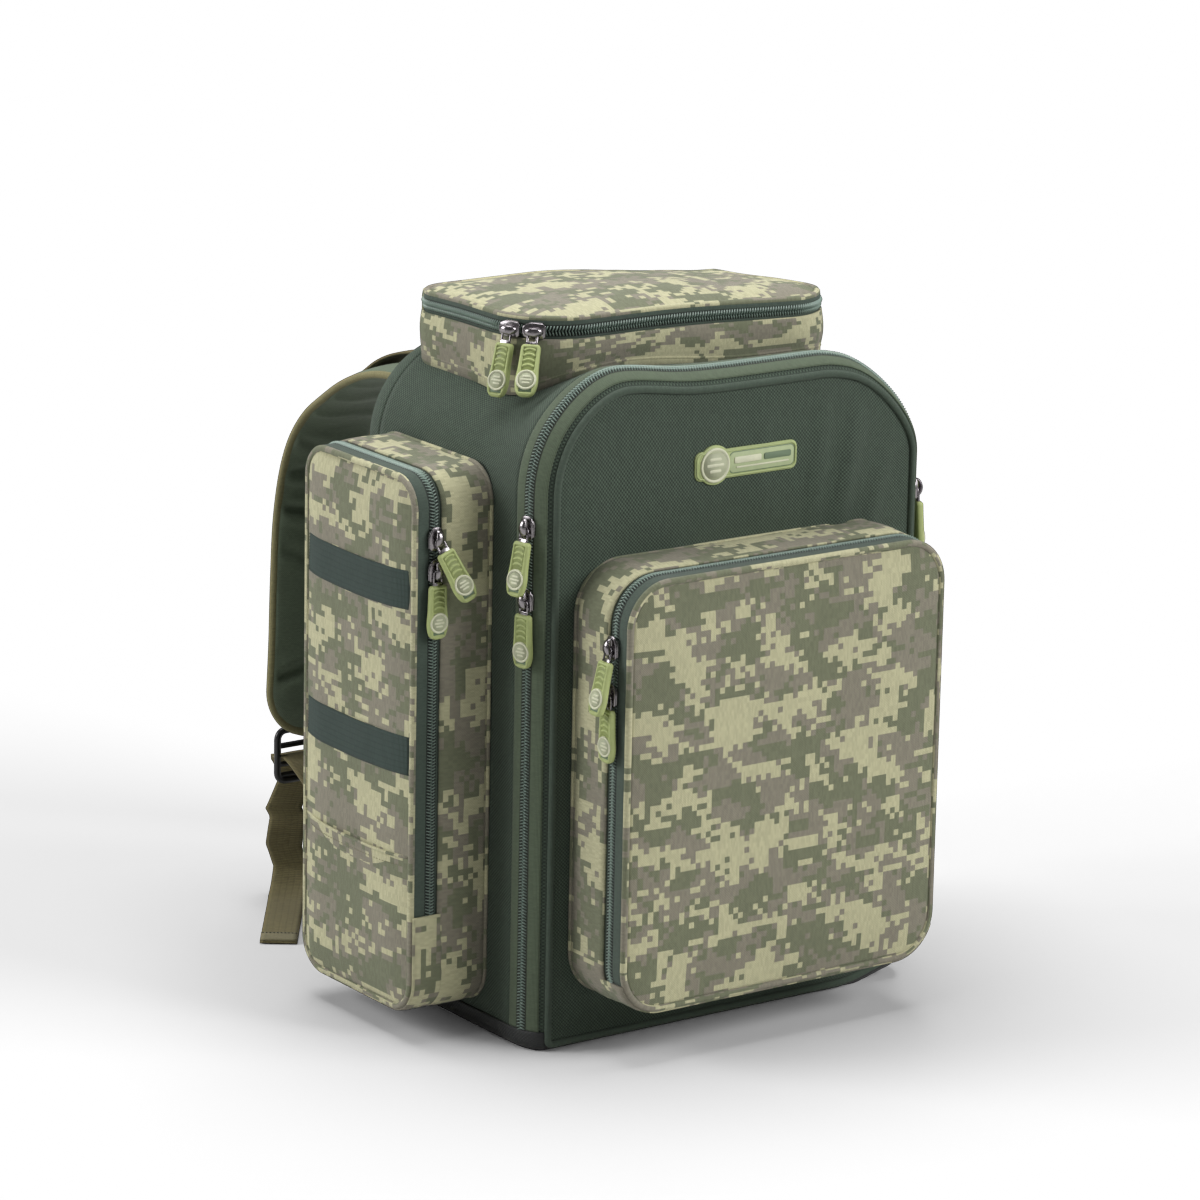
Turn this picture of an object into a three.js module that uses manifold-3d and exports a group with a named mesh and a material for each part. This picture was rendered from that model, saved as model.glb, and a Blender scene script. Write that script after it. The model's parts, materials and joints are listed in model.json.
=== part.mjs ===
// A tackle backpack for anglers: a boxy main bag with a zipped front flap, a zipped pocket on that flap,
// a zipped pocket on each side, a zipped lid pocket on top, two padded shoulder straps and a grab handle.
// Millimetres. The bag stands on z = 0 with its front towards -Y; the origin is the middle of its base.

import * as THREE from "three";
import { mergeVertices } from "three/addons/utils/BufferGeometryUtils.js";
import Module from "manifold-3d";

const wasm = await Module();
wasm.setup();

// ---------------------------------------------------------------- driving dimensions

const GAP = 0.3; // clearance between neighbouring pieces
const FAR = 2000; // longer than anything on the bag

// Every compartment is a soft block seen from outside: x to the right, y up from its hinged edge, z outwards.
// A U-shaped zip runs up one gusset, across the far edge and down the other, `zip` below the face's own plane.
const MAIN = {
  width: 336, height: 480, depth: 230, topRadius: 72, bottomRadius: 16,
  edgeIn: 15, edgeDeep: 28, wall: 4, back: 4, zip: 16, hinge: 22,
};
const MAIN_SINK = 8; // the block reaches this far below the ground before its base is cut flat
const BASE_HEIGHT = 14; // the tray of tougher cloth under the bag
const BASE_FLOOR = 3;

const FRONT_POCKET = {
  width: 276, height: 313, depth: 63, topRadius: 34, bottomRadius: 34,
  edgeIn: 3, edgeDeep: 3, wall: 3, back: 2.5, zip: 15, hinge: 19,
};
const FRONT_POCKET_FOOT = 39; // height of its lower edge above the ground

const SIDE_POCKET = {
  width: 142, height: 390, depth: 64, topRadius: 24, bottomRadius: 24,
  edgeIn: 3, edgeDeep: 3, wall: 3, back: 2.5, zip: 15, hinge: 69,
};
const RIGHT_POCKET = { ...SIDE_POCKET, depth: 30, zip: 12 }; // the same pocket, empty and lying flat
const SIDE_POCKET_FOOT = 22;
const SIDE_POCKET_MIDDLE = 16; // its middle is this far behind the middle of the bag
const LOOP_HEIGHTS = { upper: 310, lower: 190 }; // middles of the webbing loops, above the pocket's foot
const LOOP_WIDTH = 28;
const LOOP_THICK = 1.6;
const SLIP_TOP = 116; // open mouth of the slip pocket, above the side pocket's foot
const SLIP_THICK = 1.2;

const LID = {
  width: 276, height: 154, depth: 64, topRadius: 50, bottomRadius: 26,
  edgeIn: 3, edgeDeep: 3, wall: 3, back: 2, zip: 9, hinge: 6,
};
const LID_FOOT = 448; // height of the lid pocket's lowest edge above the ground
const LID_REAR = 98; // its rear wall, behind the middle of the bag
const LID_SLIDER_TURNS = { side: 23, corner: 43 }; // degrees round its front left corner, from the left side
const LID_FLOOR = 26; // its cavity starts this far above that edge, over the rounded top of the bag

const TAPE_REACH = 12; // width of each zip tape
const TAPE_THICK = 1.6;

const SLIDER = { across: 12, along: 17, thick: 2, lift: 2.3 };
const BRIDGE = { across: 2.6, half: 3.8, window: 2.4, sill: 7.2, top: 8.7 };
const PIVOT = 5.75; // height of the pull's pivot over the cloth
const PULL = {
  tabWidth: 9, tabThick: 1.6, eyeWidth: 6, eyeLength: 4.4, bar: 0.8,
  gripStart: 9.8, gripEnd: 48, gripWidth: 16, gripThick: 5.4, gripRadius: 7.5,
};

const BACK_PAD = { width: 250, foot: 28, top: 392, thick: 12 };
const BADGE = { left: -41, right: 49, foot: 399, height: 22, thick: 2.4 };

const STRAP = { width: 68, thick: 13, topMiddle: 85, splay: 0.09, topHeight: 432 };
const STRAP_LINE = [ // side view of the pad's middle line: distance behind the bag's middle, height
  [115.8, 431], [140, 432.5], [165, 431], [190, 425], [215, 414], [237, 400], [258, 384], [274, 363],
  [283, 338], [287, 300], [284, 252], [279, 203], [276, 160], [274, 132],
];
const WEBBING = { width: 28, thick: 2 };
const LIFTER_LINE = [ // the strap from the pad's shoulder to the top of the bag
  [115.8, 450], [135, 449.5], [160, 446], [185, 439.5], [205, 430.5], [219.4, 420.8], [238, 408.8],
];
const LIFTER_WIDTH = 25;
const LOWER_LINE = [[115.8, 18], [140, 25], [165, 37], [190, 53], [225, 78], [262, 103], [286, 112], [297, 108]];
const TAIL_TURN = Math.PI / 5.1; // the loose tail lies in a plane turned this far towards the front
const TAIL_LINE = [ // along that plane from the ladder lock, height
  [0, 109], [6, 98], [3, 76], [-6, 52], [-3, 30], [-10, 12], [-26, 3], [-50, 1.3], [-90, 1.3], [-132, 1.3],
];
const LOCK = { width: 38, height: 44, thick: 5, window: 30, foot: 90, rear: 282.5 };

const HANDLE = { half: 36, drop: 34, thick: 4, width: 22, pivotHeight: 436, pivotRear: 128, clear: 4 };

// ---------------------------------------------------------------- materials

const CLOTH = { roughness: 0.9, metalness: 0 };
const green = new THREE.MeshStandardMaterial({ color: 0x3c4a3d, ...CLOTH });
const camo = new THREE.MeshStandardMaterial({ color: 0x8f8f74, ...CLOTH });
const olive = new THREE.MeshStandardMaterial({ color: 0x6b6544, ...CLOTH });
const teal = new THREE.MeshStandardMaterial({ color: 0x33474a, ...CLOTH });
const tape = new THREE.MeshStandardMaterial({ color: 0x4d6152, roughness: 0.8, metalness: 0 });
const black = new THREE.MeshStandardMaterial({ color: 0x1c1d1f, roughness: 0.6, metalness: 0 });
const gunmetal = new THREE.MeshStandardMaterial({ color: 0x5b5558, roughness: 0.3, metalness: 1 });
const rubber = new THREE.MeshStandardMaterial({ color: 0xa3b565, roughness: 0.6, metalness: 0 });

// ---------------------------------------------------------------- solids

// A closed three.js geometry as a manifold-3d solid.
function solid(geometry) {
  const bare = geometry.index ? geometry.toNonIndexed() : geometry.clone();
  bare.deleteAttribute("normal");
  bare.deleteAttribute("uv");
  const merged = mergeVertices(bare, 1e-3);
  return new wasm.Manifold(new wasm.Mesh({
    numProp: 3,
    vertProperties: new Float32Array(merged.attributes.position.array),
    triVerts: new Uint32Array(merged.index.array),
  }));
}

// A named mesh of a manifold-3d solid.
function piece(name, body, material) {
  const mesh = body.getMesh();
  const geometry = new THREE.BufferGeometry();
  geometry.setAttribute("position", new THREE.BufferAttribute(mesh.vertProperties, 3));
  geometry.setIndex(new THREE.BufferAttribute(mesh.triVerts, 1));
  geometry.computeVertexNormals();
  const made = new THREE.Mesh(geometry, material);
  made.name = name;
  return made;
}

// A box given by its lowest and highest corners.
function box(low, high) {
  const size = high.map((value, i) => value - low[i]);
  const geometry = new THREE.BoxGeometry(...size);
  geometry.translate(...low.map((value, i) => value + size[i] / 2));
  return solid(geometry);
}

// All space with y over `y` and z between `from` and `to`.
function slab(y, from, to) {
  return box([-FAR, y, from], [FAR, FAR, to]);
}

// A rectangle standing on y = 0 with rounded corners.
function roundedRectangle(width, height, topRadius, bottomRadius) {
  const x = width / 2;
  const shape = new THREE.Shape();
  shape.moveTo(-x, bottomRadius);
  shape.lineTo(-x, height - topRadius);
  shape.absarc(-x + topRadius, height - topRadius, topRadius, Math.PI, Math.PI / 2, true);
  shape.lineTo(x - topRadius, height);
  shape.absarc(x - topRadius, height - topRadius, topRadius, Math.PI / 2, 0, true);
  shape.lineTo(x, bottomRadius);
  shape.absarc(x - bottomRadius, bottomRadius, bottomRadius, 0, -Math.PI / 2, true);
  shape.lineTo(-x + bottomRadius, 0);
  shape.absarc(-x + bottomRadius, bottomRadius, bottomRadius, -Math.PI / 2, -Math.PI, true);
  return shape;
}

// The soft block of a compartment, its outline grown all round by `grow`, from z = from to z = to.
function block(s, grow = 0, from = 0, to = s.depth) {
  const inset = s.edgeIn - grow;
  const shape = roundedRectangle(
    s.width - 2 * inset, s.height - 2 * inset, s.topRadius - inset, s.bottomRadius - Math.min(inset, s.bottomRadius - 1),
  );
  const geometry = new THREE.ExtrudeGeometry(shape, {
    depth: to - from - 2 * s.edgeDeep,
    bevelEnabled: true,
    bevelSize: s.edgeIn,
    bevelThickness: s.edgeDeep,
    bevelSegments: s.edgeDeep > 10 ? 3 : 1,
    curveSegments: 4,
  });
  geometry.translate(0, inset, from + s.edgeDeep);
  return solid(geometry);
}

// A compartment's four cloth pieces in its own frame: the shell with gussets and back, the flap that its zip frees,
// and the two halves of the zip. `carve` is what the shell has to leave room for.
function compartment(name, s, material, { carve, cavityFrom = s.back } = {}) {
  const outer = block(s);
  const walls = outer.subtract(block(s, -s.wall, cavityFrom, s.depth - s.wall));
  const zip = s.depth - s.zip;
  let shell = walls.subtract(slab(s.hinge - GAP / 2, zip - GAP / 2, FAR));
  if (carve) shell = shell.subtract(carve);
  const flap = walls.intersect(slab(s.hinge + GAP / 2, zip + GAP / 2, FAR));
  const ring = block(s, TAPE_THICK).subtract(block(s, GAP));
  const start = s.hinge + 1;
  return {
    shell: piece(`${name}_shell`, shell, material),
    flap: piece(`${name}_flap`, flap, material),
    shellZip: piece(`${name}_zip_shell_half`, ring.intersect(slab(start, zip - TAPE_REACH, zip - GAP / 2)), tape),
    flapZip: piece(`${name}_zip_flap_half`, ring.intersect(slab(start, zip + GAP / 2, zip + TAPE_REACH)), tape),
  };
}

// ---------------------------------------------------------------- zip sliders and pulls

// The slider: a plate over the zip and an arched bridge for the pull. `lengthwise` is true where it travels along y.
function sliderBody(lengthwise) {
  const [x, y] = lengthwise ? [SLIDER.across / 2, SLIDER.along / 2] : [SLIDER.along / 2, SLIDER.across / 2];
  const top = SLIDER.lift + SLIDER.thick;
  const plate = box([-x, -y, SLIDER.lift], [x, y, top]);
  const side = BRIDGE.across / 2;
  const arch = box([-side, -BRIDGE.half, top - 1], [side, BRIDGE.half, BRIDGE.top]);
  const window = box([-FAR, -BRIDGE.window, top], [FAR, BRIDGE.window, BRIDGE.sill]);
  return plate.add(arch.subtract(window));
}

// The pull hangs along -y from its pivot: a metal tab with an eye round the bridge, and a moulded rubber grip.
function pullBody() {
  const half = PULL.tabThick / 2;
  const tab = box([-PULL.tabWidth / 2, -PULL.gripStart - 2, -half], [PULL.tabWidth / 2, PULL.bar, half]);
  const eye = box(
    [-PULL.eyeWidth / 2, -PULL.bar - PULL.eyeLength, -FAR], [PULL.eyeWidth / 2, -PULL.bar, FAR],
  );
  const length = PULL.gripEnd - PULL.gripStart;
  const outline = roundedRectangle(PULL.gripWidth, length, 2.5, PULL.gripRadius);
  const grip = new THREE.ExtrudeGeometry(outline, {
    depth: PULL.gripThick, bevelEnabled: false, curveSegments: 2,
  });
  grip.translate(0, -PULL.gripEnd, -PULL.gripThick / 2);
  return tab.subtract(eye).add(solid(grip));
}

// A slider and its pull at a point of a compartment's zip. `out` points away from the cloth and `up` against gravity;
// the pull leans out from the cloth by `lean` and hangs askew by `skew`, both in radians.
function slider(name, { at, out, up = [0, 1, 0], lengthwise = true, lean = 0, skew = 0 }) {
  const z = new THREE.Vector3(...out).normalize();
  const y = new THREE.Vector3(...up);
  const group = new THREE.Group();
  group.applyMatrix4(new THREE.Matrix4().makeBasis(y.clone().cross(z), y, z));
  group.position.set(...at);
  const pull = piece(`${name}_pull`, pullBody(), rubber);
  pull.rotation.set(-lean, 0, skew, "ZXY");
  pull.position.z = PIVOT;
  group.add(piece(`${name}_slider`, sliderBody(lengthwise), gunmetal), pull);
  return group;
}

// ---------------------------------------------------------------- ribbons of webbing and padding

// A strip with a given side view, of constant thickness, extruded across its width.
function ribbon(line, thick, width, steps) {
  const curve = new THREE.CatmullRomCurve3(line.map(([a, b]) => new THREE.Vector3(a, b, 0)));
  const near = [];
  const far = [];
  for (let i = 0; i <= steps; i += 1) {
    const point = curve.getPointAt(i / steps);
    const tangent = curve.getTangentAt(i / steps);
    const side = new THREE.Vector2(-tangent.y, tangent.x).multiplyScalar(thick / 2);
    near.push(new THREE.Vector2(point.x + side.x, point.y + side.y));
    far.unshift(new THREE.Vector2(point.x - side.x, point.y - side.y));
  }
  const geometry = new THREE.ExtrudeGeometry(new THREE.Shape([...near, ...far]), {
    depth: width, bevelEnabled: false,
  });
  geometry.translate(0, 0, -width / 2);
  return geometry;
}

// Turns a side view (x back, y up, z across) into the bag's frame.
const SIDE_VIEW = new THREE.Matrix4().makeBasis(
  new THREE.Vector3(0, 1, 0), new THREE.Vector3(0, 0, 1), new THREE.Vector3(1, 0, 0),
);

// Across position of the strap's middle at a height, for the strap on side -1 or +1.
function strapMiddle(side, height) {
  return side * (STRAP.topMiddle + STRAP.splay * (STRAP.topHeight - height));
}

function shoulderStrap(name, side) {
  const splay = new THREE.Matrix4().makeShear(0, 0, 0, 0, -side * STRAP.splay, 0);
  const [pad, lifter] = [
    ribbon(STRAP_LINE, STRAP.thick, STRAP.width, 24),
    ribbon(LIFTER_LINE, WEBBING.thick, LIFTER_WIDTH, 12),
  ].map((strip) => {
    strip.applyMatrix4(SIDE_VIEW).translate(0, 0, -STRAP.topHeight).applyMatrix4(splay);
    return strip.translate(side * STRAP.topMiddle, 0, STRAP.topHeight);
  });

  const lockMiddle = strapMiddle(side, LOCK.foot + LOCK.height / 2);
  const lower = ribbon(LOWER_LINE, WEBBING.thick, WEBBING.width, 10).applyMatrix4(SIDE_VIEW);
  lower.translate(lockMiddle, 0, 0);
  const tail = ribbon(TAIL_LINE, WEBBING.thick, WEBBING.width, 20).applyMatrix4(SIDE_VIEW);
  tail.rotateZ(side * TAIL_TURN);
  tail.translate(lockMiddle, LOCK.rear + LOCK.thick + 8, 0);

  const half = LOCK.width / 2;
  const rim = (LOCK.height - LOCK.window) / 2;
  const frame = box(
    [lockMiddle - half, LOCK.rear, LOCK.foot], [lockMiddle + half, LOCK.rear + LOCK.thick, LOCK.foot + LOCK.height],
  );
  const window = box(
    [lockMiddle - half + 3.5, -FAR, LOCK.foot + rim], [lockMiddle + half - 3.5, FAR, LOCK.foot + rim + LOCK.window],
  );
  const group = new THREE.Group();
  group.add(
    piece(`${name}_strap_pad`, solid(pad), green),
    piece(`${name}_load_lifter`, solid(lifter), olive),
    piece(`${name}_strap_webbing`, solid(lower).add(solid(tail)), olive),
    piece(`${name}_ladder_lock`, frame.subtract(window), black),
  );
  return group;
}

function grabHandle() {
  const line = [];
  const turns = 8;
  for (let i = 0; i <= turns; i += 1) {
    const angle = (Math.PI * i) / turns;
    line.push([-HANDLE.half * Math.cos(angle), -HANDLE.clear - (HANDLE.drop - HANDLE.clear) * Math.sin(angle)]);
  }
  const loop = ribbon(line, HANDLE.thick, HANDLE.width, 14);
  loop.rotateX(Math.PI / 2); // its side view is the bag's rear view
  const made = piece("grab_handle", solid(loop), olive);
  made.position.set(0, HANDLE.pivotRear, HANDLE.pivotHeight);
  return made;
}

// ---------------------------------------------------------------- the bag

const bag = new THREE.Group();

// Frames of the compartments: x right, y up, z outwards as seen by someone facing each one.
const facingFront = new THREE.Matrix4().makeBasis(
  new THREE.Vector3(1, 0, 0), new THREE.Vector3(0, 0, 1), new THREE.Vector3(0, -1, 0),
);
const facingUp = new THREE.Matrix4().makeRotationZ(Math.PI);

function frame(basis, position) {
  const group = new THREE.Group();
  group.applyMatrix4(basis);
  group.position.set(...position);
  bag.add(group);
  return group;
}

// Main bag. Its lowest part is a tray of tougher cloth.
const mainBlock = { ...MAIN, hinge: BASE_HEIGHT + MAIN_SINK };
const main = frame(facingFront, [0, MAIN.depth / 2, -MAIN_SINK]);
const mainParts = compartment("main", mainBlock, green);
{
  const full = solid(mainParts.shell.geometry);
  const aboveGround = slab(MAIN_SINK, -FAR, FAR);
  const join = BASE_HEIGHT + MAIN_SINK;
  const upper = slab(join + GAP / 2, -FAR, FAR);
  const cavity = block(MAIN, -MAIN.wall, MAIN.back, MAIN.depth - MAIN.wall)
    .intersect(slab(MAIN_SINK + BASE_FLOOR, -FAR, FAR));
  const tray = block(MAIN).subtract(cavity).intersect(aboveGround).subtract(slab(join - GAP / 2, -FAR, FAR));
  main.add(piece("main_shell", full.intersect(upper), green));
  main.add(piece("base_panel", tray, black));
  main.add(mainParts.flap, mainParts.shellZip, mainParts.flapZip);
}

// Point and outward direction of the main zip's middle on the bag's rounded front edge, at side -1 or +1.
function mainZip(side, height) {
  const cosine = (MAIN.edgeDeep - MAIN.zip) / MAIN.edgeDeep;
  const sine = Math.sqrt(1 - cosine * cosine);
  const x = MAIN.width / 2 - MAIN.edgeIn * (1 - sine);
  const out = [(side * sine) / MAIN.edgeIn, 0, cosine / MAIN.edgeDeep];
  return { at: [side * x, height + MAIN_SINK, MAIN.depth - MAIN.zip], out };
}

main.add(slider("main_left_upper", { ...mainZip(-1, 380), lean: 0.2 }));
main.add(slider("main_left_lower", mainZip(-1, 328)));
main.add(slider("main_right", { ...mainZip(1, 366), lean: 0.05 }));

// The moulded badge on the main flap, above the front pocket.
{
  const length = BADGE.right - BADGE.left;
  const outline = roundedRectangle(length, BADGE.height, 6, 6);
  const plate = new THREE.ExtrudeGeometry(outline, { depth: BADGE.thick, bevelEnabled: false, curveSegments: 3 });
  plate.translate(BADGE.left + length / 2, BADGE.foot + MAIN_SINK, MAIN.depth + GAP);
  main.add(piece("badge", solid(plate), rubber));
}

// Front pocket, sewn on the main flap.
const front = frame(facingFront, [0, -MAIN.depth / 2 - GAP, FRONT_POCKET_FOOT]);
front.add(...Object.values(compartment("front_pocket", FRONT_POCKET, camo)));
{
  const x = -FRONT_POCKET.width / 2;
  const z = FRONT_POCKET.depth - FRONT_POCKET.zip;
  front.add(slider("front_pocket_upper", { at: [x, 266, z], out: [-1, 0, 0], lean: 0.22 }));
  front.add(slider("front_pocket_lower", { at: [x, 232, z], out: [-1, 0, 0] }));
}

// Side pockets, each with two webbing loops and an open-topped slip pocket on its face.
for (const [name, side, size, skew] of [["left", -1, SIDE_POCKET, 0.38], ["right", 1, RIGHT_POCKET, 0]]) {
  const basis = new THREE.Matrix4().makeBasis(
    new THREE.Vector3(0, side, 0), new THREE.Vector3(0, 0, 1), new THREE.Vector3(side, 0, 0),
  );
  const pocket = frame(basis, [side * (MAIN.width / 2 + GAP), SIDE_POCKET_MIDDLE, SIDE_POCKET_FOOT]);
  pocket.add(...Object.values(compartment(`${name}_pocket`, size, camo)));
  const reach = size.width / 2 - 6;
  const face = size.depth + GAP;
  for (const [level, height] of Object.entries(LOOP_HEIGHTS)) {
    const loop = box(
      [-reach, height - LOOP_WIDTH / 2, face], [reach, height + LOOP_WIDTH / 2, face + LOOP_THICK],
    );
    pocket.add(piece(`${name}_${level}_gear_loop`, loop, teal));
  }
  const slip = box([-reach, size.hinge + 1, face], [reach, SLIP_TOP, face + SLIP_THICK]);
  pocket.add(piece(`${name}_slip_pocket`, slip, camo));
  const out = [-side, 0, 0]; // towards the front in the pocket's own frame
  const x = (-side * size.width) / 2;
  const z = size.depth - size.zip;
  pocket.add(slider(`${name}_pocket_upper`, { at: [x, 347, z], out, lean: 0.34, skew }));
  pocket.add(slider(`${name}_pocket_lower`, { at: [x, 324, z], out }));
}

// Lid pocket, on the rounded top of the bag, hinged along its rear edge.
const lid = frame(facingUp, [0, LID_REAR, LID_FOOT]);
{
  const bagTop = block(MAIN, GAP).transform([
    ...[-1, 0, 0, 0], ...[0, 0, 1, 0], ...[0, 1, 0, 0], ...[0, LID_REAR - MAIN.depth / 2, -LID_FOOT - MAIN_SINK, 1],
  ]);
  lid.add(...Object.values(compartment("lid", LID, camo, { carve: bagTop, cavityFrom: LID_FLOOR })));
  const leans = { side: 0.3, corner: 0.56 };
  for (const [place, degrees] of Object.entries(LID_SLIDER_TURNS)) {
    const turn = (degrees * Math.PI) / 180;
    const out = [Math.cos(turn), Math.sin(turn), 0];
    const at = [
      LID.width / 2 - LID.topRadius * (1 - out[0]),
      LID.height - LID.topRadius * (1 - out[1]),
      LID.depth - LID.zip,
    ];
    lid.add(slider(`lid_${place}`, { at, out, up: [0, 0, 1], lengthwise: false, lean: leans[place] }));
  }
}

// Harness: the pad against the wearer's back, the straps and the handle.
{
  const padShape = roundedRectangle(BACK_PAD.width - 12, BACK_PAD.top - BACK_PAD.foot - 12, 24, 24);
  const pad = new THREE.ExtrudeGeometry(padShape, {
    depth: BACK_PAD.thick - 6, bevelEnabled: true, bevelSize: 6, bevelThickness: 3, bevelSegments: 1, curveSegments: 4,
  });
  pad.rotateX(Math.PI / 2);
  pad.translate(0, MAIN.depth / 2 + GAP + BACK_PAD.thick - 3, BACK_PAD.foot + 6);
  bag.add(piece("back_pad", solid(pad), green));
}
bag.add(shoulderStrap("left", -1), shoulderStrap("right", 1), grabHandle());

export default bag;
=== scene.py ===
"""Looks of the tackle backpack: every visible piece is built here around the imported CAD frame, in metres."""

import json
import math

import bmesh
import bpy
import numpy as np
from mathutils import Matrix, Vector, noise

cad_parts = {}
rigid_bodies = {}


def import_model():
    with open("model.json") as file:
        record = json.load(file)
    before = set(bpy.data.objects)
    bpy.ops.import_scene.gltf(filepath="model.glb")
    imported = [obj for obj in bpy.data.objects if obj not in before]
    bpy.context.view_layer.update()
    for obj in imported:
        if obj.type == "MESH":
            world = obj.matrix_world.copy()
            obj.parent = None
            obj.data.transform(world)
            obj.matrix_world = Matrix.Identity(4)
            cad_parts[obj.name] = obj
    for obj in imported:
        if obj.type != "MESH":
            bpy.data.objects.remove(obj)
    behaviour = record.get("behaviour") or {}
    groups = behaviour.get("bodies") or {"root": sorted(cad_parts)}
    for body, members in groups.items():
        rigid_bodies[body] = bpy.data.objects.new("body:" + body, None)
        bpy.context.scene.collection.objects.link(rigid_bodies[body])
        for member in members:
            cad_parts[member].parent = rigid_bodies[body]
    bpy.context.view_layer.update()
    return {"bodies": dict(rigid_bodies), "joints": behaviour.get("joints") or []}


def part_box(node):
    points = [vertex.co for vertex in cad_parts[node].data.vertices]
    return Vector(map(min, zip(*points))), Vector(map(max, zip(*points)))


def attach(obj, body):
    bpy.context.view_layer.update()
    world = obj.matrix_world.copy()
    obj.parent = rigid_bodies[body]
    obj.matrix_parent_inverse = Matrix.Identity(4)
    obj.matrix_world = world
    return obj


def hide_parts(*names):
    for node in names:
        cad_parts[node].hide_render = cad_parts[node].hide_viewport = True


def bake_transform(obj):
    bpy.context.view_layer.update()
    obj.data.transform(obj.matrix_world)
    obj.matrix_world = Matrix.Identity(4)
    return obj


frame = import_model()
MM = 0.001

# ---------------------------------------------------------------- camera, floor and light


def basis(x, y, z, at):
    """The matrix that carries a piece's own x, y and z axes onto these directions, with its origin at a point."""
    return Matrix([[x[i], y[i], z[i], at[i]] for i in range(3)] + [[0, 0, 0, 1]])


CAMERA_AT = (-2.3027, -3.1826, 1.3248)
YAW, PITCH, ROLL = (math.radians(angle) for angle in (35.461, 14.873, 1.146))  # turned right, looking down, tilted
SENSOR, FOCAL_LENGTH = 36, 168.1  # mm
AMBIENT = 0.11  # light of the white surroundings on the object; the camera sees them at 1
LAMPS = {  # place, target, side in metres, watts
    "key": ((1.9, -2.9, 2.1), (0, 0, 0.25), 2.0, 114),
    "left": ((-2.9, 1.6, 1.6), (0, 0, 0.25), 1.8, 84),
    "top": ((0.1, 0.5, 3.0), (0, 0, 0.4), 2.2, 74),
}
FLOOR_SIDE, FLOOR_DROP, FLOOR_COLOUR = 14, 0.4 * MM, (0.6, 0.6, 0.59, 1)


def aim_camera():
    forward = Vector((math.sin(YAW) * math.cos(PITCH), math.cos(YAW) * math.cos(PITCH), -math.sin(PITCH)))
    level = Vector((math.cos(YAW), -math.sin(YAW), 0))
    upright = level.cross(forward)
    right = level * math.cos(ROLL) + upright * math.sin(ROLL)
    up = -level * math.sin(ROLL) + upright * math.cos(ROLL)
    data = bpy.data.cameras.new("camera")
    data.sensor_width = SENSOR
    data.lens = FOCAL_LENGTH
    data.clip_start, data.clip_end = 0.1, 60
    camera = bpy.data.objects.new("camera", data)
    bpy.context.collection.objects.link(camera)
    camera.matrix_world = basis(right, up, -forward, CAMERA_AT)
    bpy.context.scene.camera = camera


def light_studio():
    world = bpy.data.worlds.new("studio")
    world.use_nodes = True
    tree = world.node_tree
    background = tree.nodes["Background"]
    background.inputs["Color"].default_value = (1, 1, 1, 1)
    seen = tree.nodes.new("ShaderNodeLightPath").outputs["Is Camera Ray"]
    strength = tree.nodes.new("ShaderNodeMapRange")
    strength.inputs["To Min"].default_value = AMBIENT
    strength.inputs["To Max"].default_value = 1.0
    tree.links.new(seen, strength.inputs["Value"])
    tree.links.new(strength.outputs["Result"], background.inputs["Strength"])
    bpy.context.scene.world = world
    bpy.context.scene.view_settings.view_transform = "Standard"
    for name, (place, target, size, power) in LAMPS.items():
        light = bpy.data.lights.new(name, "AREA")
        light.shape = "SQUARE"
        light.size = size
        light.energy = power
        o = bpy.data.objects.new(name, light)
        o.location = place
        o.rotation_euler = (Vector(target) - Vector(place)).to_track_quat("-Z", "Y").to_euler()
        bpy.context.collection.objects.link(o)


def lay_floor():
    bpy.ops.mesh.primitive_plane_add(size=FLOOR_SIDE, location=(0, 0, -FLOOR_DROP))
    floor = bpy.context.object
    floor.name = "floor"
    white = bpy.data.materials.new("floor_white")
    white.use_nodes = True
    inputs = white.node_tree.nodes["Principled BSDF"].inputs
    inputs["Base Color"].default_value = FLOOR_COLOUR
    inputs["Roughness"].default_value = 0.9
    floor.data.materials.append(white)
    floor.is_shadow_catcher = True


aim_camera()
light_studio()
lay_floor()

# ---------------------------------------------------------------- materials


def linear(r, g, b):
    """An 8-bit display colour as linear values."""
    channels = [c / 255 for c in (r, g, b)]
    return tuple(c / 12.92 if c <= 0.04045 else ((c + 0.055) / 1.055) ** 2.4 for c in channels)


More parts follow.
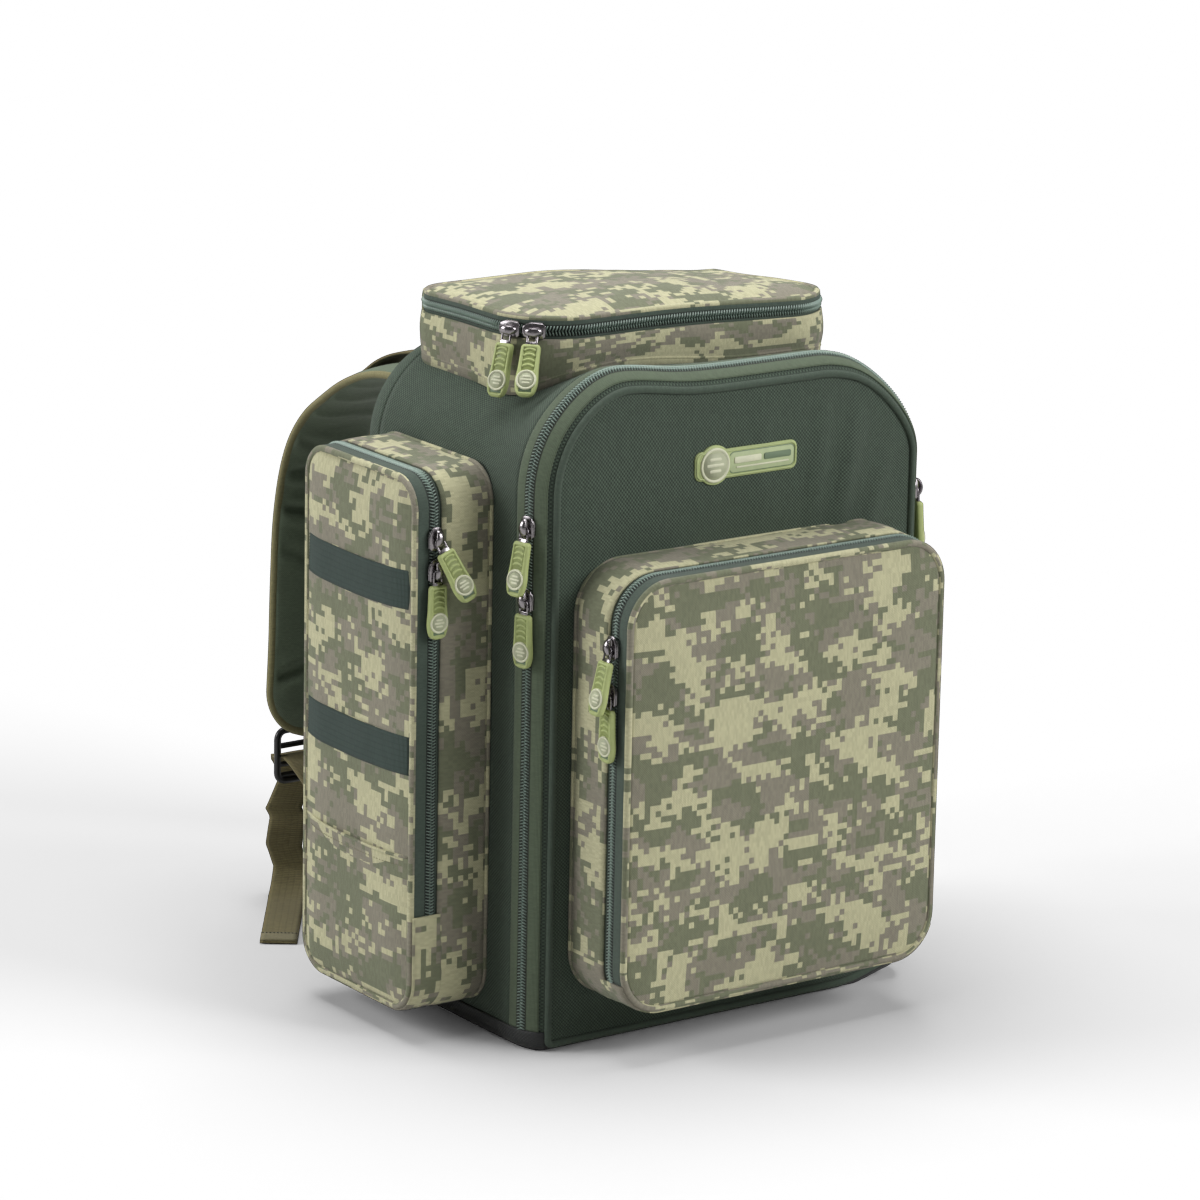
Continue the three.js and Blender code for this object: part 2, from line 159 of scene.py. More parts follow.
class Shader:
    """A Principled material with short ways to add nodes."""

    def __init__(self, name, roughness, metallic=0.0, sheen=0.0, coordinate="UV"):
        self.material = bpy.data.materials.new(name)
        self.material.use_nodes = True
        self.tree = self.material.node_tree
        self.inputs = self.tree.nodes["Principled BSDF"].inputs
        self.inputs["Roughness"].default_value = roughness
        self.inputs["Metallic"].default_value = metallic
        if sheen:
            self.inputs["Sheen Weight"].default_value = sheen
            self.inputs["Sheen Roughness"].default_value = 0.5
        self.place = self.tree.nodes.new("ShaderNodeTexCoord").outputs[coordinate]

    def put(self, socket, value):
        if isinstance(value, bpy.types.NodeSocket):
            self.tree.links.new(value, socket)
        elif isinstance(value, tuple) and len(value) == 3 and socket.type == "RGBA":
            socket.default_value = (*value, 1)
        else:
            socket.default_value = value

    def node(self, kind, inputs, output=0, **settings):
        """One output of a new node, whose inputs are values or other nodes' outputs."""
        node = self.tree.nodes.new(f"ShaderNode{kind}")
        for key, value in settings.items():
            setattr(node, key, value)
        for socket, value in (inputs if isinstance(inputs, dict) else dict(enumerate(inputs))).items():
            self.put(node.inputs[socket], value)
        return node.outputs[output]

    def math(self, operation, *values):
        return self.node("Math", values, operation=operation)

    def vector(self, operation, a, b):
        return self.node("VectorMath", (a, b), operation=operation)

    def scaled(self, colour, factor):
        """A colour made lighter or darker by a factor that varies over the surface."""
        return self.node("VectorMath", {0: colour, 3: factor}, operation="SCALE")

    def split(self, vector):
        return tuple(self.node("SeparateXYZ", (vector,)).node.outputs)[:2]

    def noise(self, vector, scale, detail, roughness=0.5):
        return self.node("TexNoise", {"Vector": vector, "Scale": scale, "Detail": detail, "Roughness": roughness})

    def white(self, vector):
        return self.node("TexWhiteNoise", {"Vector": vector}, noise_dimensions="3D")

    def mix(self, factor, a, b):
        return self.node("Mix", {0: factor, 6: a, 7: b}, output=2, data_type="RGBA")

    def range(self, *values):
        """A value carried from one range (its 2nd and 3rd number) to another (its 4th and 5th)."""
        return self.node("MapRange", values)

    def wave(self, value, pitch):
        """From 0 to 1 and back once for each pitch."""
        return self.math("MULTIPLY_ADD", self.math("SINE", self.math("MULTIPLY", value, 2 * math.pi / pitch)), 0.5, 0.5)

    def finish(self, colour, height, strength, distance, roughness=None):
        """Connect the colour, the relief and, where it varies, the roughness."""
        self.put(self.inputs["Base Color"], colour)
        if roughness:
            self.put(self.inputs["Roughness"], roughness)
        relief_of = {"Strength": strength, "Distance": distance, "Height": height}
        self.put(self.inputs["Normal"], self.node("Bump", relief_of))
        return self.material


def cloth(name, colour, weave="canvas", pitch=1.1 * MM, depth=0.35 * MM, roughness=0.85, sheen=0.06, mottle=0.12,
          weave_shading=0.3):
    """Woven cloth of one dye lot: threads over and under with painted shade in the weave's hollows and painted light on
    its raised threads, slubs, faded and soiled areas.
    """
    s = Shader(name, roughness, sheen=sheen)
    wander = s.math("MULTIPLY_ADD", s.noise(s.place, 60, 1), 0.5 * pitch, -0.25 * pitch)
    u, v = (s.math("ADD", part, wander) for part in s.split(s.place))
    if weave == "canvas":
        a, b = (s.math("SINE", s.math("MULTIPLY", part, math.pi / pitch)) for part in (u, v))
        height = s.math("MULTIPLY_ADD", s.math("MULTIPLY", a, b), 0.5, 0.5)
    elif weave == "twill":
        height = s.wave(s.math("ADD", u, v), pitch)
    elif weave == "ribs_u":
        height = s.math("MULTIPLY", s.wave(u, pitch), s.range(s.wave(v, pitch * 3.2), 0, 0.25, 0.55, 1))
    else:
        height = s.math("MULTIPLY", s.wave(v, pitch), s.range(s.wave(u, pitch * 1.4), 0, 0.5, 0.8, 1))
    slub = s.white(s.vector("SNAP", s.place, (pitch, pitch * 3, 1)))
    large = s.noise(s.place, 7, 4, 0.6)
    # Painted shade in the weave's hollows and painted light on its raised threads, set by the weave's height.
    shade = s.range(height, 0, 1, 1 - weave_shading, 1 + weave_shading * 0.6)
    shade = s.math("MULTIPLY", shade, s.range(slub, 0, 1, 0.9, 1.1))
    shade = s.math("MULTIPLY", shade, s.range(large, 0.25, 0.75, 1 - mottle, 1 + mottle))
    worn = s.range(large, 0.2, 0.8, roughness - 0.08, min(1, roughness + 0.08))
    return s.finish(s.scaled(colour(s) if callable(colour) else colour, shade), height, 0.7, depth, worn)


CELL = 4.3 * MM
KHAKI, MOSS, MAUVE = linear(190, 187, 151), linear(115, 119, 94), linear(136, 131, 115)
KHAKI_ABOVE, MOSS_ABOVE, RAGGED = 0.533, 0.49, 0.055  # noise levels of the dyes, and how far single cells stray


def camo_print(offset):
    """The digital print: square cells of three dyes in ragged patches, a few cells wide."""

    def build(s):
        warped = s.vector("ADD", s.place, (*offset, 0))
        cell = s.vector("SNAP", warped, (CELL, CELL, 1))
        coarse = s.vector("SNAP", warped, (CELL * 2, CELL, 1))
        ragged = s.range(s.white(cell), 0, 1, -RAGGED, RAGGED)
        light = s.math("ADD", s.noise(s.vector("MULTIPLY", coarse, (0.72, 1.0, 1.0)), 31, 4, 0.62), ragged)
        shifted = s.vector("ADD", s.vector("MULTIPLY", cell, (0.7, 1, 1)), (7.3, 3.1, 0))
        dark = s.math("ADD", s.noise(shifted, 35, 3, 0.6), ragged)
        ground = s.mix(s.math("GREATER_THAN", dark, MOSS_ABOVE), MAUVE, MOSS)
        return s.mix(s.math("GREATER_THAN", light, KHAKI_ABOVE), ground, KHAKI)

    return build


def painted_coil_shade(colour):
    """A zip tape's dye, with painted shade darkening the tape under the coil and just beside it."""

    def build(s):
        _, across = s.split(s.place)
        return s.scaled(colour, s.range(across, 3.7 * MM, 4.5 * MM, 0.22, 1.0))

    return build


def rubber(name, colour, roughness=0.55):
    s = Shader(name, roughness, coordinate="Object")
    scuff = s.noise(s.place, 90, 4, 0.7)
    worn = s.range(scuff, 0.3, 0.75, roughness - 0.1, roughness + 0.15)
    shade = s.scaled(colour, s.range(scuff, 0.3, 0.7, 0.9, 1.08))
    return s.finish(shade, s.noise(s.place, 900, 3, 0.6), 0.25, 0.12 * MM, worn)


def plated(name, colour, roughness):
    s = Shader(name, roughness, metallic=1.0, coordinate="Object")
    cast = s.noise(s.place, 260, 4, 0.65)
    worn = s.range(cast, 0.3, 0.7, roughness - 0.08, roughness + 0.14)
    return s.finish(s.scaled(colour, s.range(cast, 0.3, 0.7, 0.88, 1.08)), cast, 0.05, 0.1 * MM, worn)


def moulded(name, colour, roughness):
    s = Shader(name, roughness, coordinate="Object")
    grain = s.noise(s.place, 700, 2, 0.5)
    return s.finish(s.scaled(colour, s.range(grain, 0.3, 0.7, 0.9, 1.1)), grain, 0.3, 0.1 * MM)


LINING = cloth("dark_lining", linear(46, 54, 48), pitch=0.8 * MM, depth=0.15 * MM, roughness=0.6, weave_shading=0.25,
               sheen=0.0)
GREEN = cloth("green_canvas", linear(65, 79, 66), pitch=1.35 * MM, depth=0.5 * MM, mottle=0.1, weave_shading=0.8, sheen=0.04)
PIPING = cloth("green_piping", linear(70, 84, 71), weave="twill", pitch=0.9 * MM, weave_shading=0.25)
CAMO = {key: cloth(f"camo_{key}", camo_print(offset), weave="twill", pitch=1.2 * MM, depth=0.25 * MM, weave_shading=0.2,
                   mottle=0.06, sheen=0.1)
        for key, offset in {"front": (0.35, 0.2), "left": (1.35, 0.7), "right": (2.2, 1.9), "lid": (3.6, 0.4)}.items()}
TAPE, MAIN_TAPE = (cloth(name, painted_coil_shade(linear(*dye)), weave="ribs_v", pitch=0.85 * MM, depth=0.2 * MM, weave_shading=0.25,
                         sheen=0.1)
                   for name, dye in (("zip_tape", (66, 80, 70)), ("main_zip_tape", (84, 97, 76))))
COIL = moulded("zip_coil", linear(134, 152, 142), 0.34)
WEBBING = cloth("olive_webbing", linear(108, 100, 66), weave="ribs_u", pitch=1.5 * MM, depth=0.45 * MM, weave_shading=0.35)
FOLD_CLOTH = cloth("webbing_fold", linear(118, 112, 84), weave="ribs_u", pitch=0.9 * MM, depth=0.15 * MM, weave_shading=0.15)
BINDING = cloth("olive_binding", linear(126, 121, 84), weave="ribs_u", pitch=1.1 * MM, depth=0.25 * MM, weave_shading=0.25)
BAND = cloth("teal_band", linear(45, 62, 56), weave="ribs_u", pitch=1.3 * MM, depth=0.35 * MM, weave_shading=0.3)
GREEN_PAD = cloth("pad_cloth", linear(97, 110, 90), pitch=0.8 * MM, depth=0.15 * MM, weave_shading=0.2, roughness=0.75)
BLACK_CLOTH = cloth("black_base", linear(34, 36, 36), pitch=1.3 * MM, roughness=0.6, weave_shading=0.2)
AIR_MESH = cloth("air_mesh", linear(46, 54, 47), pitch=2.6 * MM, depth=0.9 * MM, weave_shading=0.5)
THREAD_GREEN = moulded("thread_green", linear(58, 70, 58), 0.7)
THREAD_KHAKI = moulded("thread_khaki", linear(132, 128, 96), 0.7)
THREAD_DARK = moulded("thread_dark", linear(38, 44, 40), 0.7)
RUBBER = rubber("green_rubber", linear(166, 177, 116))
# Darker rubber for the floor of each pull's channel: painted shade in the recess.
RUBBER_RECESS_SHADE = rubber("green_rubber_recess_shade", linear(136, 147, 88))
# Darker green rubber: the badge's dark outline and bar, and the painted shadow below the disc on each pull.
RUBBER_DARK = rubber("green_rubber_shade", linear(104, 122, 96))
BADGE_GREEN = rubber("badge_rubber", linear(168, 180, 124))
BADGE_FIELD = rubber("badge_field", linear(172, 184, 142))
CREAM = rubber("cream_rubber", linear(208, 209, 182), 0.5)
DISC_GREY = rubber("disc_field", linear(176, 180, 152), 0.6)
METAL = plated("gunmetal", linear(150, 145, 148), 0.2)
PLASTIC = moulded("black_acetal", linear(26, 26, 27), 0.3)

# ---------------------------------------------------------------- meshes


def mesh_object(name, vertices, faces, material, uvs=None, smooth=True):
    """uvs holds one pair for each corner of each face, in order."""
    mesh = bpy.data.meshes.new(name)
    mesh.from_pydata([tuple(v) for v in vertices], [], [tuple(f) for f in faces])
    if uvs is not None:
        layer = mesh.uv_layers.new(name="UVMap")
        layer.data.foreach_set("uv", np.asarray(uvs, np.float32).ravel())
    mesh.materials.append(material)
    if smooth:
        mesh.polygons.foreach_set("use_smooth", [True] * len(mesh.polygons))
    mesh.update()
    made = bpy.data.objects.new(name, mesh)
    bpy.context.collection.objects.link(made)
    return made


def grid(name, points, material, us, vs, closed=False, flip=False, uv=None):
    """A sheet through points[i][j]; us and vs are its cloth coordinates. closed joins the last row to the first."""
    points = np.asarray(points, float)
    rows, columns = points.shape[:2]
    spans = rows if closed else rows - 1
    faces, uvs = [], []
    for i in range(spans):
        k = (i + 1) % rows
        for j in range(columns - 1):
            corners = [(i, j), (i, j + 1), (k, j + 1), (k, j)]
            marks = [(i, j), (i, j + 1), (i + 1, j + 1), (i + 1, j)]
            if flip:
                corners.reverse()
                marks.reverse()
            faces.append([a * columns + b for a, b in corners])
            for (a, b), (c, d) in zip(corners, marks):
                uvs.append(uv[a][b] if uv is not None else (us[c], vs[d]))
    return mesh_object(name, points.reshape(-1, 3), faces, material, uvs)


def apply(o, modifier):
    bpy.context.view_layer.objects.active = o
    with bpy.context.temp_override(object=o, active_object=o, selected_objects=[o]):
        bpy.ops.object.modifier_apply(modifier=modifier.name)


def thicken(o, thickness, offset=-1.0, lining=None):
    """Give a sheet its thickness; a lining covers its inner side."""
    solid = o.modifiers.new("thickness", "SOLIDIFY")
    solid.thickness = thickness
    solid.offset = offset
    if lining:
        o.data.materials.append(o.data.materials[0])
        o.data.materials[0] = lining
        solid.material_offset = solid.material_offset_rim = 1
    apply(o, solid)


def join(name, objects):
    """One object of several, keeping each one's material."""
    first = objects[0]
    with bpy.context.temp_override(
        active_object=first, object=first, selected_objects=objects, selected_editable_objects=objects
    ):
        bpy.ops.object.join()
    first.name = name
    return first


def unit(v):
    v = np.asarray(v, float)
    length = np.linalg.norm(v, axis=-1, keepdims=True)
    return v / np.maximum(length, 1e-12)


def tangents(points, closed):
    points = np.asarray(points, float)
    if closed:
        return unit(np.roll(points, -1, 0) - np.roll(points, 1, 0))
    return unit(np.gradient(points, axis=0))


def arc_lengths(points):
    steps = np.linalg.norm(np.diff(points, axis=0), axis=1)
    return np.concatenate([[0], np.cumsum(steps)])


def tube(name, points, normals, radius, material, closed=False, sides=10, flat=1.0, squeeze=None):
    """A round or flattened cord: normals point to its top, flat is its height over its width."""
    points, normals = np.asarray(points, float), unit(normals)
    t = tangents(points, closed)
    side = unit(np.cross(t, normals))
    top = unit(np.cross(side, t))
    ring = np.arange(sides + 1) * 2 * math.pi / sides
    r = np.full(len(points), radius) if squeeze is None else radius * np.asarray(squeeze)
    shell = (
        points[:, None]
        + side[:, None] * (np.cos(ring)[None, :, None] * r[:, None, None])
        + top[:, None] * (np.sin(ring)[None, :, None] * r[:, None, None] * flat)
    )
    lengths = arc_lengths(np.vstack([points, points[:1]]) if closed else points)
    around = ring * radius
    made = edit(grid(name, shell, material, lengths, around, closed=closed, flip=True), merge)
    return made if closed else edit(made, fill, outwards)


def edit(o, *operations):
    b = bmesh.new()
    b.from_mesh(o.data)
    for operation in operations:
        operation(b)
    b.to_mesh(o.data)
    b.free()
    return o


def merge(b):
    bmesh.ops.remove_doubles(b, verts=b.verts, dist=1e-6)


def fill(b):
    bmesh.ops.holes_fill(b, edges=[e for e in b.edges if e.is_boundary], sides=0)


def outwards(b):
    """Turn each closed part of a mesh right side out."""
    bmesh.ops.recalc_face_normals(b, faces=b.faces)


def settle(pieces, body, node=None):
    """Pieces that ride on one body; the CAD node, if one is given, is hidden."""
    for o in pieces:
        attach(o, body)
    if node:
        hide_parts(node)


def resample(points, step, *others):
    """Evenly spaced points along a line, with other per-point values carried along."""
    lengths = arc_lengths(np.asarray(points, float))
    at = np.linspace(0, lengths[-1], max(2, int(round(lengths[-1] / step)) + 1))
    return tuple(np.stack([np.interp(at, lengths, column) for column in np.asarray(values).T], 1)
                 for values in (points, *others))


def stitches(name, points, normals, material, pitch=3.4 * MM, length=2.3 * MM, radius=0.38 * MM):
    """A row of sewn stitches: short swellings of thread lying on the cloth, sunk at their ends."""
    points, normals = resample(points, pitch, normals)
    t, n = tangents(points, False), unit(normals)
    s = unit(np.cross(t, n))
    n = unit(np.cross(s, t))
    vertices, faces = [], []
    for p, a, b, c in zip(points, t, n, s):
        k = len(vertices)
        vertices += [p - a * length / 2 - b * radius * 0.6, p + c * radius, p + b * radius, p - c * radius,
                     p - b * radius, p + a * length / 2 - b * radius * 0.6]
        for i in range(4):
            j = (i + 1) % 4
            faces += [(k, k + 1 + j, k + 1 + i), (k + 5, k + 1 + i, k + 1 + j)]
    return edit(mesh_object(name, vertices, faces, material), outwards)


def teeth(name, points, normals, inward, half, pitch=2.3 * MM, reach=3.5 * MM):
    """Half of a coil chain: slanted loops of monofilament that reach from the tape over the middle line.

    half moves them along by that share of a pitch, so that the two halves mesh."""
    points, normals, inward = resample(points, pitch, normals, inward)
    t, n, w = tangents(points, False), unit(normals), unit(inward)
    vertices, faces = [], []
    for p, a, b, c in zip(points + t * pitch * half, t, n, w):
        k = len(vertices)
        for across, along, width, top in ((reach, -0.28, 0.6, 1.3), (reach * 0.45, 0.0, 0.6, 2.1),
                                          (-0.8 * MM, 0.28, 0.5, 1.3)):
            middle = p - c * across + a * pitch * along
            vertices += [middle - a * pitch * width / 2, middle + b * top * MM, middle + a * pitch * width / 2]
        for i in (0, 3):
            faces += [(k + i, k + i + 1, k + i + 4, k + i + 3), (k + i + 1, k + i + 2, k + i + 5, k + i + 4),
                      (k + i + 2, k + i, k + i + 3, k + i + 5)]
        faces += [(k, k + 2, k + 1), (k + 6, k + 7, k + 8)]
    return edit(mesh_object(name, vertices, faces, COIL), outwards)


def ripple(p, size, seed=0.0):
    """Smooth noise from -1 to 1 with features about that size."""
    return noise.noise(Vector(p) / size + Vector((seed, seed * 1.7, -seed)))


def arc_outline(cx, cy, r, start, stop, count):
    return [(cx + r * math.cos(math.radians(start + (stop - start) * k / count)),
             cy + r * math.sin(math.radians(start + (stop - start) * k / count))) for k in range(count + 1)]


def rounded(width, height, r, cx=0.0, cy=0.0, count=6):
    x, y = width / 2 - r, height / 2 - r
    return (arc_outline(cx + x, cy + y, r, 0, 90, count) + arc_outline(cx - x, cy + y, r, 90, 180, count)
            + arc_outline(cx - x, cy - y, r, 180, 270, count) + arc_outline(cx + x, cy - y, r, 270, 360, count))


# ---------------------------------------------------------------- compartments


class Block:
    """A compartment in its own frame: x right, y up from its hinged edge, z outwards, with rounded corners.

    top and bottom are its corner radii, edge_in and edge_deep the rounding of its rim, zip_in the zip's distance
    from its face and hinge the height where its flap bends, all in mm."""

    def __init__(self, nodes, right, up, out, top, bottom, edge_in, edge_deep, zip_in, hinge):
        self.axes = np.array([right, up, out], float)
        boxes = np.array([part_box(node) for node in nodes])
        a, b = self.axes @ boxes[:, 0].min(axis=0), self.axes @ boxes[:, 1].max(axis=0)
        least, most = np.minimum(a, b), np.maximum(a, b)
        self.width, self.height, self.depth = most - least
        self.origin = self.axes.T @ np.array([(least[0] + most[0]) / 2, least[1], least[2]])
        self.top, self.bottom = top * MM, bottom * MM
        self.edge_in, self.edge_deep = edge_in * MM, edge_deep * MM
        self.zip = self.depth - zip_in * MM
        self.hinge = hinge * MM
        self.slack = None  # moves points in the world, where the compartment has gone out of square

    def world(self, p):
        placed = np.asarray(p) @ self.axes + self.origin
        return self.slack(placed) if self.slack else placed

    def turn(self, v):
        return np.asarray(v) @ self.axes

    def inset(self, z):
        t = np.clip((np.asarray(z) - (self.depth - self.edge_deep)) / self.edge_deep, 0, 1)
        return self.edge_in * (1 - np.sqrt(np.maximum(0, 1 - t * t)))

    def loop(self, step=5 * MM, start=None):
        """Outline points and outward normals, clockwise from the lower left; from start to start if it is given."""
        x, h, rt, rb = self.width / 2, self.height, self.top, self.bottom
        points, normals = [], []

        def line(a, b, n):
            count = max(2, int(math.dist(a, b) / step))
            for i in range(count):
                points.append([a[0] + (b[0] - a[0]) * i / count, a[1] + (b[1] - a[1]) * i / count])
                normals.append(n)

        def corner(cx, cy, r, start_angle):
            count = max(6, int(r * math.pi / 2 / min(step, 4 * MM)))
            for i in range(count):
                angle = start_angle - math.pi / 2 * i / count
                points.append([cx + r * math.cos(angle), cy + r * math.sin(angle)])
                normals.append([math.cos(angle), math.sin(angle)])

        line((-x, rb), (-x, h - rt), (-1, 0))
        corner(-x + rt, h - rt, rt, math.pi)
        line((-x + rt, h), (x - rt, h), (0, 1))
        corner(x - rt, h - rt, rt, math.pi / 2)
        line((x, h - rt), (x, rb), (1, 0))
        corner(x - rb, rb, rb, 0)
        line((x - rb, 0), (-x + rb, 0), (0, -1))
        corner(-x + rb, rb, rb, -math.pi / 2)
        points, normals = np.array(points), np.array(normals, float)
        if start is None:
            return points, normals
        return self.part(points, normals, points[:, 1] >= start, start, start >= rb)

    @staticmethod
    def part(points, normals, kept, height, to_height=True):
        """The kept run of a closed outline, in order; its ends are carried to a height."""
        first = next(i for i in range(len(points)) if kept[i] and not kept[i - 1])
        order = [(first + i) % len(points) for i in range(int(kept.sum()))]
        points, normals = points[order], normals[order]
        if to_height:
            points = np.vstack([[[points[0][0], height]], points, [[points[-1][0], height]]])
            normals = np.vstack([normals[:1], normals, normals[-1:]])
        return points, normals

    def place(self, points, normals, z, lift=0.0):
        """Points on the side wall at depth z, raised by lift off the cloth, in the row frame, and their normals."""
        inset = float(self.inset(z))
        step = 0.2 * MM
        slope = (float(self.inset(min(z + step, self.depth))) - float(self.inset(z - step))) / (2 * step)
        out = unit(np.column_stack([normals, np.full(len(points), slope)]))
        flat = np.column_stack([points - normals * inset, np.full(len(points), z)])
        return self.world(flat + out * lift), self.turn(out)


LOWEST_CLOTH = 3.6 * MM


def wall(name, block, z0, z1, material, start=None, puff=0.0, crease=0.0, thick=1.6 * MM, rows=None, lift=0.0,
         seed=0.0):
    """Cloth round a compartment's side between two depths, a little slack between its seams."""
    points, normals = block.loop(5 * MM, start)
    rows = rows or max(3, int((z1 - z0) / (5 * MM)))
    depths = np.linspace(z0, z1, rows + 1)
    sheet = []
    for z in depths:
        placed, out = block.place(points, normals, z)
        across = (z - z0) / (z1 - z0)
        slack = math.sin(math.pi * across) ** 0.7 if 0 < across < 1 else 0.0
        for i, (p, n) in enumerate(zip(placed, out)):
            uneven = ripple(p, 0.06, seed) + 0.5 * ripple(p * [1, 1, 2.2], 0.024, seed + 3)
            placed[i] = p + n * (lift + slack * (puff + crease * uneven))
        placed[:, 2] = np.maximum(placed[:, 2], LOWEST_CLOTH)
        sheet.append(placed)
    lengths = arc_lengths(np.vstack([points, points[:1]]) if start is None else points)
    made = grid(name, np.transpose(sheet, (1, 0, 2)), material, lengths, depths, closed=start is None, flip=True)
    thicken(made, thick, lining=LINING)
    return made


def half_width(block, y, inset):
    """Half the width of the face's outline at height y, for an outline moved in by inset."""
    x, h = block.width / 2 - inset, block.height - inset
    rt, rb = max(block.top - inset, 1e-4), max(block.bottom - inset, 1e-4)
    if y > h - rt:
        return x - rt + math.sqrt(max(0, rt * rt - (y - h + rt) ** 2))
    if y < inset + rb:
        return x - rb + math.sqrt(max(0, rb * rb - (inset + rb - y) ** 2))
    return x


PANEL_FOLDS = [  # foot x and y, lean, length, width and height of each soft fold, in mm
    (96, 402, 0.22, 62, 8, 3.6), (70, 418, 0.12, 46, 7, 2.4), (121, 372, 0.3, 58, 7, 2.8),
    (-118, 330, -0.12, 80, 9, 2.0), (20, 428, 0.0, 40, 9, 1.6),
]


def pulled_folds(x, y):
    """Soft folds that run down and inwards from the upper right of the main panel, in metres."""
    total = 0.0
    for x0, y0, lean, length, width, height in PANEL_FOLDS:
        along, across = y / MM - y0, x / MM - x0 - lean * (y / MM - y0)
        total += height * math.exp(-((along / length) ** 2) - (across / width) ** 2)
    return total * MM


def relief(block, puff, crease, inset, drop, seed, folds=None):
    """Height of a face's cloth over x and y of its block: taut at its seam, softly domed and uneven inside it."""
    low, high = inset, block.height - inset
    span = 0.22 * min(block.width, block.height)

    def height(x, y):
        half = half_width(block, min(max(y, low), high), inset)
        edge = min(1, max(0, min(y - low, high - y, half - abs(x)) / span))
        rise = 1 - (1 - edge) ** 2.4
        p = np.array([x, y, block.depth]) @ block.axes + block.origin
        uneven = ripple(p, 0.09, seed) + 0.4 * ripple(p, 0.035, seed + 5)
        return block.depth - drop + rise * (puff + crease * uneven + (folds(x, y) if folds else 0))

    return height


def crowded(k, count, share):
    """From -1 to 1 in count steps that are narrower towards both ends, the more so with a larger share."""
    return share * -math.cos(math.pi * k / count) + (1 - share) * (2 * k / count - 1)


def face(name, block, material, puff, crease, inset=None, drop=1.2 * MM, seed=0.0, cells=(44, 52), folds=None):
    """The front panel of a compartment, with its outermost cells narrow so that its edge turns in cleanly."""
    inset = block.edge_in if inset is None else inset
    low, high = inset, block.height - inset
    columns, rows = cells
    height = relief(block, puff, crease, inset, drop, seed, folds)
    sheet = []
    for j in range(rows + 1):
        y = low + (high - low) * (0.5 + 0.5 * crowded(j, rows, 0.55))
        xs = [half_width(block, y, inset) * crowded(i, columns, 0.5) for i in range(columns + 1)]
        sheet.append([(x, y, height(x, y)) for x in xs])
    sheet = np.array(sheet)
    made = grid(name, block.world(sheet), material, None, None, flip=True, uv=sheet[..., :2])
    thicken(made, 2.2 * MM, lining=LINING)
    return made


def zip_half(name, block, toward_face, body, node, width, level=0.9 * MM, tape=TAPE, sewn=None, thread=THREAD_GREEN):
    """One tape of a zip with its half of the coil, and the row of stitches that holds the cloth's folded edge."""
    points, normals = block.loop(4 * MM, block.hinge)
    sign = 1 if toward_face else -1
    gap, steps, on_tape = 0.3 * MM, 9, level + 0.2 * MM

    def line(off, lift):
        return block.place(points, normals, block.zip + sign * off, lift)

    sheet = [line(gap + (width - gap) * k / steps, level)[0] for k in range(steps + 1)]
    made = grid(f"{name}_tape", np.transpose(sheet, (1, 0, 2)), tape, arc_lengths(points),
                np.linspace(0, width, steps + 1), flip=toward_face)
    thicken(made, 0.7 * MM)
    middle, out = line(0, on_tape)
    coil = teeth(f"{name}_coil", middle, out, middle - line(2 * MM, on_tape)[0], 0.5 if toward_face else 0.0)
    cord = tube(f"{name}_coil_edge", *line(4.3 * MM, on_tape), 0.5 * MM, THREAD_DARK, sides=6)
    row = stitches(f"{name}_stitches", *line(*(sewn or (width - 1.6 * MM, level + 0.25 * MM))), thread)
    settle([made, coil, cord, row], body, node)


def piping(name, block, material, radius, inset, z):
    points, normals = block.loop(3.5 * MM)
    flat = np.column_stack([points - normals * inset, np.full(len(points), z)])
    out = unit(np.column_stack([normals, np.full(len(points), 0.8)]))
    return tube(name, block.world(flat), block.turn(out), radius, material, closed=True)


def bend_at_hinge(pieces, block, flap_body, below, above):
    """Cloth that crosses a flap's hinge, with its placement baked into its mesh; it is not bent at the hinge."""
    low, high = (block.world([0, block.hinge + d, block.depth]) for d in (-below, above))
    for o in pieces:
        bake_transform(o)
        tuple(low)
        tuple(high)


RIGHT, LEFT, BACK, FORE, UP = (1, 0, 0), (-1, 0, 0), (0, 1, 0), (0, -1, 0), (0, 0, 1)


MAIN_SINK = 8 * MM  # its outline starts this far under the ground, where its cloth is flattened


def main_block(right, out):
    """The main compartment, seen from its front or from its rear."""
    block = Block(["main_shell", "main_flap", "base_panel"], right, UP, out, 72, 16, 15, 28, 16, 22)
    block.height += MAIN_SINK
    block.origin = block.origin - block.axes[1] * MAIN_SINK
    return block


main = main_block(RIGHT, FORE)
front = Block(["front_pocket_shell", "front_pocket_flap"], RIGHT, UP, FORE, 34, 34, 3, 3, 15, 19)
sides = {
    "left": Block(["left_pocket_shell", "left_pocket_flap"], FORE, UP, LEFT, 24, 24, 3, 3, 15, 69),
    "right": Block(["right_pocket_shell", "right_pocket_flap"], BACK, UP, RIGHT, 24, 24, 3, 3, 12, 69),
}
lid = Block(["lid_shell", "lid_flap"], LEFT, FORE, UP, 50, 26, 3, 3, 9, 6)


def low_run(block, height):
    """The part of a block's outline below a height, from its right side under the bottom to its left side."""
    points, normals = block.loop(4 * MM)
    return block.part(points, normals, points[:, 1] < height - 0.1 * MM, height)


def smooth(t):
    t = np.clip(t, 0, 1)
    return t * t * (3 - 2 * t)


def shoulder_sag(x, y):
    """How far the bag's unsupported top hangs, in mm, most in front of the lid pocket's front left corner."""
    corner = 7.5 * np.exp(-(((x + 128) / 42) ** 2) - ((y + 40) / 30) ** 2)
    return corner + 9 * smooth((x + 70) / 130) * (1 - smooth((x - 140) / 30)) * np.exp(-(((y + 52) / 27) ** 2))


